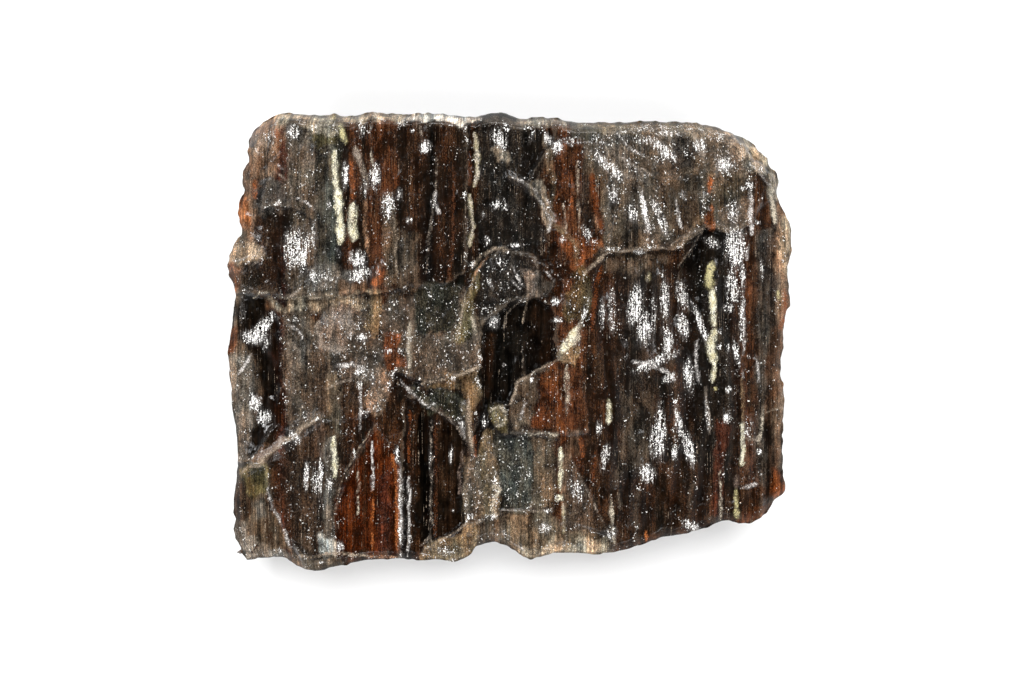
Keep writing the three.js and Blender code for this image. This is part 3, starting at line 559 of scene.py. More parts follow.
        (18, -30), (26, -30), (31, -31), (44, -27), (47, -30), (46, -41), (22, -46), (18, -40)], 2.5),
    Patch("foot slate", "ink", 0.75, 0.15, [(31, -29), (34, -29), (33.5, -41), (31, -41)], 0.8),
    Patch("maroon scar", "soot", 0.7, 0.2, [(29, -6), (33.5, -8.4), (34.6, -12), (30, -12)], 0.7),
    Patch("bay of maroon", "maroon", 0.7, 0.15, [
        (43.6, -18), (47, -18), (45.6, -26), (44.6, -38), (42.6, -38)], 0.7),
]


class Stroke(NamedTuple):
    """A line drawn on the face by a thin band, a crack or an edge; along a ridge or ledge edge a pale line
    is a painted highlight. Its colour, how far that covers, its width and the points that it follows."""

    name: str
    colour: str
    cover: float
    width: float
    path: list


STROKES = [
    Stroke("ledge edge, left", "bone", 0.5, 0.4, [
        (-50.5, 9.4), (-48, 8.8), (-44, 8.9), (-36, 9.1), (-30, 9.6)]),
    Stroke("ledge hook", "bone", 0.8, 0.5, [(-54.6, 9), (-53.4, 10.2), (-51.5, 10)]),
    Stroke("hollow edge", "pearl", 0.7, 0.4, [(-47.3, 9), (-46, 9.6), (-44.6, 11)]),
    Stroke("wedge line", "black", 0.9, 0.8, [(-50, 18), (-49.4, 14), (-48.6, 9.2)]),
    Stroke("long arc", "silver", 0.7, 0.35, [(-45.2, 30.2), (-43.4, 29.3), (-41.6, 27.8)]),
    Stroke("short arc", "silver", 0.6, 0.5, [(-49.7, 37.6), (-48.3, 36)]),
    Stroke("arc above the dome", "pearl", 0.5, 0.4, [(-50.5, 36), (-48, 34.6), (-46.6, 32.4), (-46.4, 30)]),
    Stroke("fringe seam", "maroon", 0.8, 1.2, [(-48.6, 45), (-48, 40), (-47.6, 34)]),
    Stroke("fringe copper", "copper", 0.6, 1.2, [(-49.6, 45), (-49.4, 41)]),
    Stroke("fringe rust", "copper", 0.6, 1.4, [(-54.5, 34), (-54.3, 30)]),
    Stroke("shard under the short seam", "silver", 0.8, 0.5, [(-34.2, 18.8), (-33.4, 16.4), (-32.2, 15)]),
    Stroke("knob edge", "pearl", 0.6, 0.35, [(-52.8, 20), (-52.4, 18.6), (-53.4, 17), (-55.2, 16)]),
    Stroke("hanging thread", "pearl", 0.7, 0.35, [(-43.3, 44), (-43.4, 39.6)]),
    Stroke("brown strip", "copper", 0.5, 1.2, [(-34, 38), (-33.6, 34), (-33.2, 30)]),
    Stroke("black strip", "black", 0.8, 0.9, [(-34.7, 35), (-34.6, 28), (-34.6, 20)]),
    Stroke("black beside the cream", "black", 0.7, 1.6, [(-31.2, 31), (-31.4, 25), (-31.6, 20), (-33, 19)]),
    Stroke("rose curve", "pearl", 0.7, 1.4, [(-33.2, 41), (-32, 38), (-31, 35), (-30.3, 32)]),
    Stroke("peach thread", "peach", 0.75, 0.5, [(-30.8, 30), (-30.8, 23), (-30.2, 18)]),
    Stroke("thread over the rust", "bone", 0.6, 0.35, [(-29.7, 46), (-29.6, 40), (-29.2, 33)]),
    Stroke("column edge", "sand", 0.6, 0.4, [(-25, 27), (-24.3, 22), (-24.1, 12)]),
    Stroke("bright rod", "silver", 0.95, 0.6, [(-15.9, 31.6), (-15.7, 29), (-15.3, 27)]),
    Stroke("rod's thread", "pearl", 0.5, 0.35, [(-15.6, 39), (-16, 32), (-17.2, 23), (-18, 14)]),
    Stroke("grey smear", "pearl", 0.5, 0.9, [(-19.2, 46), (-19, 42)]),
    Stroke("black strand", "black", 0.8, 1.1, [(-16.4, 30), (-16.6, 20), (-16.6, 12)]),
    Stroke("black strand, right", "black", 0.7, 1.0, [(-13.4, 38), (-13.4, 22), (-14, 12)]),
    Stroke("rust strand", "mahogany", 0.7, 0.7, [(-12, 37), (-12, 24), (-13, 13)]),
    Stroke("rust beside the cream", "rust", 0.6, 1.1, [(-8.6, 40), (-8.7, 33)]),
    Stroke("smoke streak", "taupe", 0.6, 1.8, [(-21, 9), (-21, 4), (-21.3, -4)]),
    Stroke("bone line", "bone", 0.7, 0.5, [(-21.5, 4), (-21.4, -1), (-21.6, -6)]),
    Stroke("arch rib", "sand", 0.6, 0.9, [(-8, 15.4), (-6, 18), (-3.6, 19.4), (0, 19.4)]),
    Stroke("arch rib, pink", "peach", 0.8, 0.5, [(-7.4, 13.6), (-6.2, 16), (-4.8, 18)]),
    Stroke("rib down the left", "sand", 0.5, 0.8, [(-9.4, 10), (-10.6, 5), (-11.4, 0)]),
    Stroke("lump crest", "bone", 0.6, 0.7, [(-8.2, 5), (-7.7, 3), (-7.4, 1)]),
    Stroke("lump scratch", "silver", 0.8, 0.35, [(0.2, 16), (1.6, 13.6), (2.8, 11.6)]),
    Stroke("lump scratch, low", "silver", 0.9, 0.4, [(0.4, 12.8), (2.2, 10.9)]),
    Stroke("lump scratch, right", "pearl", 0.8, 0.4, [(5.2, 17.4), (5.9, 15.2)]),
    Stroke("fan edge", "silver", 0.7, 0.35, [(7, 15), (9.6, 12.3)]),
    Stroke("fan rib", "sand", 0.4, 0.5, [(4, 14), (3.8, 10.5), (3, 6), (2.8, 3)]),
    Stroke("lump's lower edge", "pearl", 0.4, 0.4, [(3, 9), (1, 7.4), (-0.8, 5), (-1.4, 2)]),
    # painted highlight along the shoulder ridge
    Stroke("shoulder ridge", "silver", 0.6, 0.7, [
        (0.4, 34.6), (2.6, 33.8), (5, 32), (6.4, 29.6), (8.6, 25.5), (8.2, 23)]),
    Stroke("shoulder line", "sand", 0.7, 0.35, [(14.3, 38), (14.4, 30), (14.8, 23)]),
    Stroke("shoulder thread", "sand", 0.7, 0.35, [(11.4, 29), (11.8, 23.4)]),
    Stroke("shoulder amber", "copper", 0.6, 0.7, [(13, 36), (13.2, 24)]),
    Stroke("amber streak", "rust", 0.8, 1.4, [(17.2, 35.4), (18, 31), (18.4, 27), (19.6, 23.6)]),
    Stroke("amber thread", "peach", 0.7, 0.5, [(17.8, 27), (19, 23.2)]),
    Stroke("saddle cream", "tan", 0.6, 1.2, [(9.4, 24.5), (11.4, 23), (14, 20.6), (14, 15.5)]),
    Stroke("saddle rust", "rust", 0.7, 1.2, [(19.6, 15.6), (18.2, 12), (17.8, 7), (17.6, 2)]),
    Stroke("saddle crest", "sand", 0.6, 0.8, [(15.6, 14), (18, 16.4), (21, 18.6)]),
    # painted highlight along the ledge's edge
    Stroke("ledge edge, right", "pearl", 0.45, 0.5, [
        (20, 18.5), (25, 19), (30, 19.3), (33.5, 19.7), (36, 21.4), (41, 24)]),
    Stroke("sheet lump", "pearl", 0.75, 1.8, [(39.4, 42.8), (40.4, 41.2), (41.2, 39.8)]),
    Stroke("sheet hatch", "pearl", 0.5, 0.5, [(20.4, 37.6), (24, 35.4), (29.4, 33.4)]),
    Stroke("sheet hatch, upper", "pearl", 0.5, 0.5, [(21.6, 40), (25.6, 37.6), (30.6, 35)]),
    Stroke("hollow line", "ink", 0.7, 0.6, [(36, 40.4), (38, 39), (39.2, 37.6)]),
    Stroke("mauve edge", "silver", 0.5, 0.4, [(22.6, 44), (25, 41.4), (28.4, 39)]),
    Stroke("sheet scratch", "silver", 0.7, 0.6, [(28, 31), (28.6, 27), (29.4, 23)]),
    Stroke("sheet scratch, right", "silver", 0.7, 0.5, [(35.6, 30), (35.8, 25.6), (36.6, 23.6)]),
    Stroke("wedge edge", "pearl", 0.4, 0.4, [(35.6, 15.8), (38, 18.6), (41, 23.6)]),
    Stroke("grey bar", "silver", 0.75, 0.9, [(51, 32), (51.2, 28), (51.4, 22.4)]),
    Stroke("grey bar, low", "silver", 0.7, 0.7, [(50.8, 20), (50.4, 17)]),
    Stroke("rim streak", "bone", 0.8, 0.9, [(55.5, 30.6), (56.2, 27.6), (56.4, 25)]),
    Stroke("purple line", "silver", 0.5, 0.4, [(49.6, 39.4), (53, 35.6), (56.6, 31)]),
    Stroke("purple line, low", "ink", 0.6, 0.7, [(51.4, 36.4), (54.6, 33)]),
    Stroke("rim dash", "straw", 0.8, 0.7, [(56.8, 10.4), (57.3, 8.4)]),
    Stroke("rim amber", "copper", 0.5, 1.4, [(58.6, 11), (58.4, 6), (57.6, 2)]),
    Stroke("glass edge", "silver", 0.7, 0.4, [(49.4, 18), (49.6, 10), (49.8, 0), (49.6, -8)]),
    Stroke("seam thread", "silver", 0.7, 0.4, [(52.4, -3), (52.9, -9)]),
    # painted highlight along the ridge
    Stroke("ridge under the trough", "sand", 0.6, 1.1, [
        (-57.4, -28.6), (-55.6, -26.8), (-53.6, -26.4), (-51.8, -24.4), (-50, -23.6), (-48.6, -21.5),
        (-46.4, -20.8), (-44.4, -18.7), (-42.6, -17.9), (-41.2, -16.6)]),
    Stroke("rose under the ridge", "rose", 0.7, 1.4, [(-54, -24.8), (-51, -23.4), (-48, -20.8)]),
    Stroke("trough facet line", "silver", 0.6, 0.6, [(-58, -7), (-56.6, -5.4), (-55, -3.2)]),
    Stroke("shell ring", "silver", 0.7, 0.5, [(-47.3, 3.3), (-45.4, 2.4), (-44.2, 0.2)]),
    Stroke("shell ring, outer", "pearl", 0.4, 0.4, [(-46, -1), (-46.3, -6), (-46, -12)]),
    Stroke("boss ring", "pearl", 0.55, 1.3, [
        (-40.8, 4), (-41.2, 1.4), (-40.4, -1), (-37.4, -2.4), (-35, -1.6)]),
    Stroke("fissure", "silver", 0.6, 0.8, [(-37.2, -5.4), (-35.6, -5.6), (-33.6, -5.2), (-31, -6.4)]),
    Stroke("fissure, low", "pearl", 0.5, 0.5, [(-39.4, -10.4), (-36, -9), (-33.4, -8.4)]),
    Stroke("fissure, lowest", "pearl", 0.4, 0.4, [(-38.6, -12.6), (-35.4, -11.6)]),
    Stroke("shell ring, inner", "pearl", 0.45, 0.4, [(-46.6, -0.4), (-44.8, -2.8), (-44.3, -6.6)]),
    Stroke("dark crack", "ink", 0.7, 0.5, [(-36.4, -6.5), (-36.2, -12)]),
    Stroke("white thread", "silver", 0.9, 0.45, [(-31.9, -10), (-31.8, -15), (-31.9, -19)]),
    Stroke("corner rim", "silver", 0.5, 0.5, [(-51.6, -31), (-51, -35), (-48.6, -39.6), (-46.6, -44.6)]),
    Stroke("corner shade", "umber", 0.85, 1.3, [(-52, -37.6), (-51.6, -40.5), (-50.6, -43.2)]),
    Stroke("corner arrow", "umber", 0.8, 0.9, [(-55, -45.4), (-53.8, -43.8)]),
    Stroke("corner spot", "ink", 0.7, 1.4, [(-57, -35.6), (-56.8, -37)]),
    # painted highlight on the bands
    Stroke("banded light", "silver", 0.7, 0.6, [(-43.4, -26), (-43.4, -32)]),
    Stroke("arrow edge, left", "sand", 0.5, 0.4, [(-29.6, -19), (-34, -26), (-36.2, -31), (-37.4, -37)]),
    Stroke("arrow edge, right", "amber", 0.7, 0.8, [(-25.3, -24.4), (-24.3, -27), (-24, -36), (-24, -45)]),
    Stroke("arrow thread", "silver", 0.9, 0.4, [(-29.3, -21.4), (-29.3, -32)]),
    Stroke("arrow thread, low", "amber", 0.7, 0.35, [(-29.3, -32), (-29.3, -45)]),
    Stroke("arrow thread, left", "bone", 0.7, 0.35, [(-32.4, -28), (-32.4, -37)]),
    Stroke("arrow shade", "umber", 0.8, 0.6, [(-31, -24), (-31, -45.4)]),
    # painted highlight along the edge
    Stroke("sparkling edge", "silver", 0.6, 0.6, [(-23.4, -26), (-23.2, -36), (-23.2, -46)]),
    Stroke("white thread by the arch", "silver", 0.9, 0.45, [(-21.6, -29), (-21.6, -37), (-21.7, -46)]),
    Stroke("orange by the arch", "rust", 0.7, 0.8, [(-21.4, -15), (-21.4, -26)]),
    Stroke("arch light", "pearl", 0.5, 0.35, [(-16.8, -17), (-16.9, -30), (-16.9, -43)]),
    Stroke("arch lines", "mahogany", 0.7, 0.7, [(-15.8, -16), (-15.8, -42)]),
    # painted highlights along the arch's crest
    Stroke("arch rim", "silver", 0.9, 0.6, [(-23.4, -8.6), (-21.6, -10.8), (-19.4, -12.6), (-17.4, -14.2)]),
    Stroke("arch rim, top", "pearl", 0.75, 0.55, [
        (-17.2, -14.4), (-14.4, -15.6), (-12, -17.6), (-10.2, -20.2), (-9, -22.6)]),
    Stroke("arch rim, right", "silver", 0.7, 0.6, [(-10.9, -17.4), (-10, -19.6), (-9.6, -21)]),
    Stroke("arch rim, low", "rose", 0.7, 0.7, [(-10.2, -24), (-10.9, -28), (-10.6, -33)]),
    Stroke("pale spine", "sand", 0.6, 1.0, [(-9, -12), (-8.9, -17), (-8.3, -21), (-8, -24.6)]),
    Stroke("orange spine", "copper", 0.7, 0.5, [(-7.5, -20.5), (-7.4, -25)]),
    Stroke("tan line", "sand", 0.9, 0.6, [(-19, -9.4), (-14, -8.3), (-10, -7.2), (-6, -5.6)]),
    Stroke("eye ring", "bone", 0.5, 0.6, [
        (-4.2, -15), (-2.2, -13.9), (-0.8, -15.4), (-1.2, -17.8), (-3.4, -18.6)]),
    Stroke("column edge, low", "sand", 0.8, 0.5, [
        (0, -13.6), (0.9, -11), (1.8, -8.6), (5, -7), (8, -5), (10.4, -4.2)]),
    Stroke("column light", "pearl", 0.4, 0.35, [(2.6, -1.6), (2.7, -6)]),
    Stroke("silver side line", "silver", 0.7, 0.4, [(3.5, -11.6), (3, -14), (2.2, -17)]),
    Stroke("fan edge, low", "pearl", 0.45, 0.4, [(12.5, -24.5), (15.5, -30), (18.5, -36), (21, -41)]),
    Stroke("panel top", "bone", 0.8, 0.35, [(4, -20.2), (8, -19.9), (10.6, -20.4)]),
    Stroke("panel foot", "pearl", 0.6, 0.4, [(-2, -36.2), (5, -36.4), (9, -36)]),
    Stroke("crumb ridge", "bone", 0.7, 0.7, [
        (-5, -28.4), (-4, -31), (-2.2, -31.6), (-3.6, -34.4), (-3, -38)]),
    Stroke("notch edge", "silver", 0.8, 0.5, [(0, -43), (1.6, -43.8), (3, -44.8)]),
    Stroke("lip edge", "sand", 0.6, 0.5, [(-18, -44.6), (-15.5, -43), (-12, -41), (-9, -39), (-6, -38.6)]),
    Stroke("lip edge, arch", "pearl", 0.5, 0.6, [(-19, -44), (-17, -41.6)]),
    Stroke("lip of the bands", "sand", 0.8, 0.6, [
        (-46.6, -45.6), (-43, -46.2), (-40, -45.7), (-36, -45.2), (-30, -46)]),
    Stroke("rim of the arrow", "peach", 0.6, 0.5, [(-30, -46), (-24, -46.2)]),
    Stroke("white crumbs column", "bone", 0.6, 1.2, [(12, -5.6), (12.4, -10), (12.2, -16)]),
    Stroke("rust by the ripples", "copper", 0.6, 0.9, [(15, -20.6), (15.2, -25)]),
    Stroke("rust thread", "rust", 0.6, 0.5, [(18.3, -24), (17.8, -31)]),
    Stroke("dark ripple", "black", 0.7, 1.1, [(24.4, -4), (23, -10), (22.6, -20), (23.4, -30), (24, -38)]),
    Stroke("dark ripple, middle", "black", 0.7, 1.3, [
        (38.4, 13), (38.6, 6), (38.8, 0), (37.6, -10), (39.6, -18), (40, -26)]),
    Stroke("dark ripple, right", "ink", 0.7, 1.6, [(41.4, 12), (41.4, 4), (41, -4), (41.6, -12)]),
    Stroke("dark ripple, centre", "black", 0.6, 1.2, [(34.6, -9), (34, -18), (34.2, -27)]),
    # painted highlights on the ripple crests
    Stroke("ripple crest", "silver", 0.7, 0.5, [(39.8, 0), (39.6, -5), (40.2, -10)]),
    Stroke("ripple crest, right", "pearl", 0.7, 0.6, [(41.6, -10), (42, -15), (42.6, -20)]),
    # painted highlight along the scar's edge
    Stroke("scar edge", "silver", 0.8, 0.7, [(26, -4.7), (29, -5), (31, -5.6), (33.5, -7), (35, -8.6)]),
    Stroke("tan seam", "tan", 0.7, 0.8, [(49.4, -8), (49.6, -18)]),
    Stroke("shelf", "pearl", 0.75, 1.1, [(50.4, -20.8), (53.2, -21)]),
    Stroke("rib by the rim", "bone", 0.7, 0.6, [(53.8, -14.4), (53.6, -18), (52.8, -22)]),
    Stroke("rib across the rim", "sand", 0.6, 0.35, [(54, -15.6), (56, -14.8), (58.3, -14.6)]),
    Stroke("grey lens", "rose", 0.8, 1.3, [(48.4, -28.8), (48, -31.4)]),
    Stroke("corner web", "silver", 0.4, 0.9, [(49.4, -31.6), (52.6, -30.6)]),
    Stroke("foot thread", "bone", 0.8, 0.35, [(44.8, -28), (44.8, -38.4)]),
    Stroke("foot cream", "bone", 0.6, 0.8, [(21.6, -33), (21.8, -38), (22.2, -43)]),
    Stroke("foot cream, right", "sand", 0.4, 0.5, [(23, -32), (23.4, -36)]),
    Stroke("foot amber", "amber", 0.7, 0.8, [(28.8, -40.8), (29, -43)]),
]

# The cream-coloured seams, which are chalky all through.
SEAMS = [
    Stroke("long cream seam", "cream", 0.9, 1.15, [(-37.4, 40.6), (-37.2, 36), (-36.9, 31)]),
    Stroke("long cream seam, low", "cream", 1, 1.75, [(-36.9, 32), (-36.3, 27), (-36, 23), (-36.2, 20.6)]),
    Stroke("short cream seam", "cream", 1, 1.9, [(-33.4, 28.6), (-33.2, 25), (-33.3, 21.4)]),
    Stroke("green-yellow seam", "straw", 0.9, 1.2, [(-36, 46), (-35.6, 44), (-34.9, 42)]),
    Stroke("cream knob", "straw", 0.9, 1.2, [(-37.8, 47.9), (-37.4, 47.2)]),
    Stroke("middle cream seam", "bone", 0.7, 0.9, [(-7.6, 44), (-7.1, 40), (-7, 35.6), (-7.6, 33)]),
    Stroke("middle cream seam, low", "bone", 0.6, 0.9, [(-8.6, 31), (-8.2, 27), (-8, 24), (-8.6, 20)]),
    Stroke("saddle cream", "cream", 0.8, 1.8, [(14, 2.4), (12.8, 0), (11, -2.2)]),
    Stroke("saddle cream, tail", "bone", 0.5, 1.6, [(15, 4), (14.4, 1.4), (13.6, -1)]),
    Stroke("streak by the slate", "cream", 0.85, 1.0, [(10.6, -23), (10.8, -28), (10.6, -32)]),
    Stroke("knob by the slate", "cream", 0.95, 1.8, [(10, -33.2), (10.8, -34)]),
    Stroke("tail by the slate", "bone", 0.6, 0.7, [(11.2, -35), (11.6, -41)]),
    Stroke("right cream seam, head", "straw", 0.95, 2.1, [(43, 16.4), (42.2, 13.4), (42.8, 11)]),
    Stroke("right cream seam", "cream", 0.95, 1.3, [(43, 11), (43.4, 6), (43.2, 3)]),
    Stroke("right cream seam, low", "cream", 0.95, 2.0, [(43.4, 2), (43, -2), (43.4, -5)]),
    Stroke("right cream seam, tail", "cream", 0.9, 1.1, [(43.5, -5), (43.1, -9)]),
    Stroke("cream spot", "straw", 0.9, 0.9, [(43.6, -10.2), (43.9, -10.3)]),
    Stroke("far cream seam", "cream", 0.9, 1.0, [(49.4, -18), (49.6, -22), (49.5, -26.6)]),
    Stroke("far seam, foot", "straw", 0.9, 0.6, [(48, -32), (48, -36)]),
    Stroke("far seam, end", "straw", 0.9, 0.9, [(48, -36), (48.2, -38)]),
    Stroke("short seam in the ripples", "cream", 0.8, 1.2, [(21, -12.6), (21.1, -17.6)]),
    Stroke("blob under the ledge", "bone", 0.7, 1.2, [(29.6, 14.4), (29.3, 12.6)]),
    Stroke("streak by the arrow", "cream", 0.9, 1.1, [(-37.5, -20.5), (-37.4, -25), (-37.2, -29)]),
]


class Glint(NamedTuple):
    """A place where the glass is crumbled and painted with glitter, grains that stand for glints: its
    middle, its half sizes, how far it leans from upright to the right, in degrees, and how thickly it
    glitters."""

    name: str
    at: tuple
    half: tuple
    lean: float
    strength: float


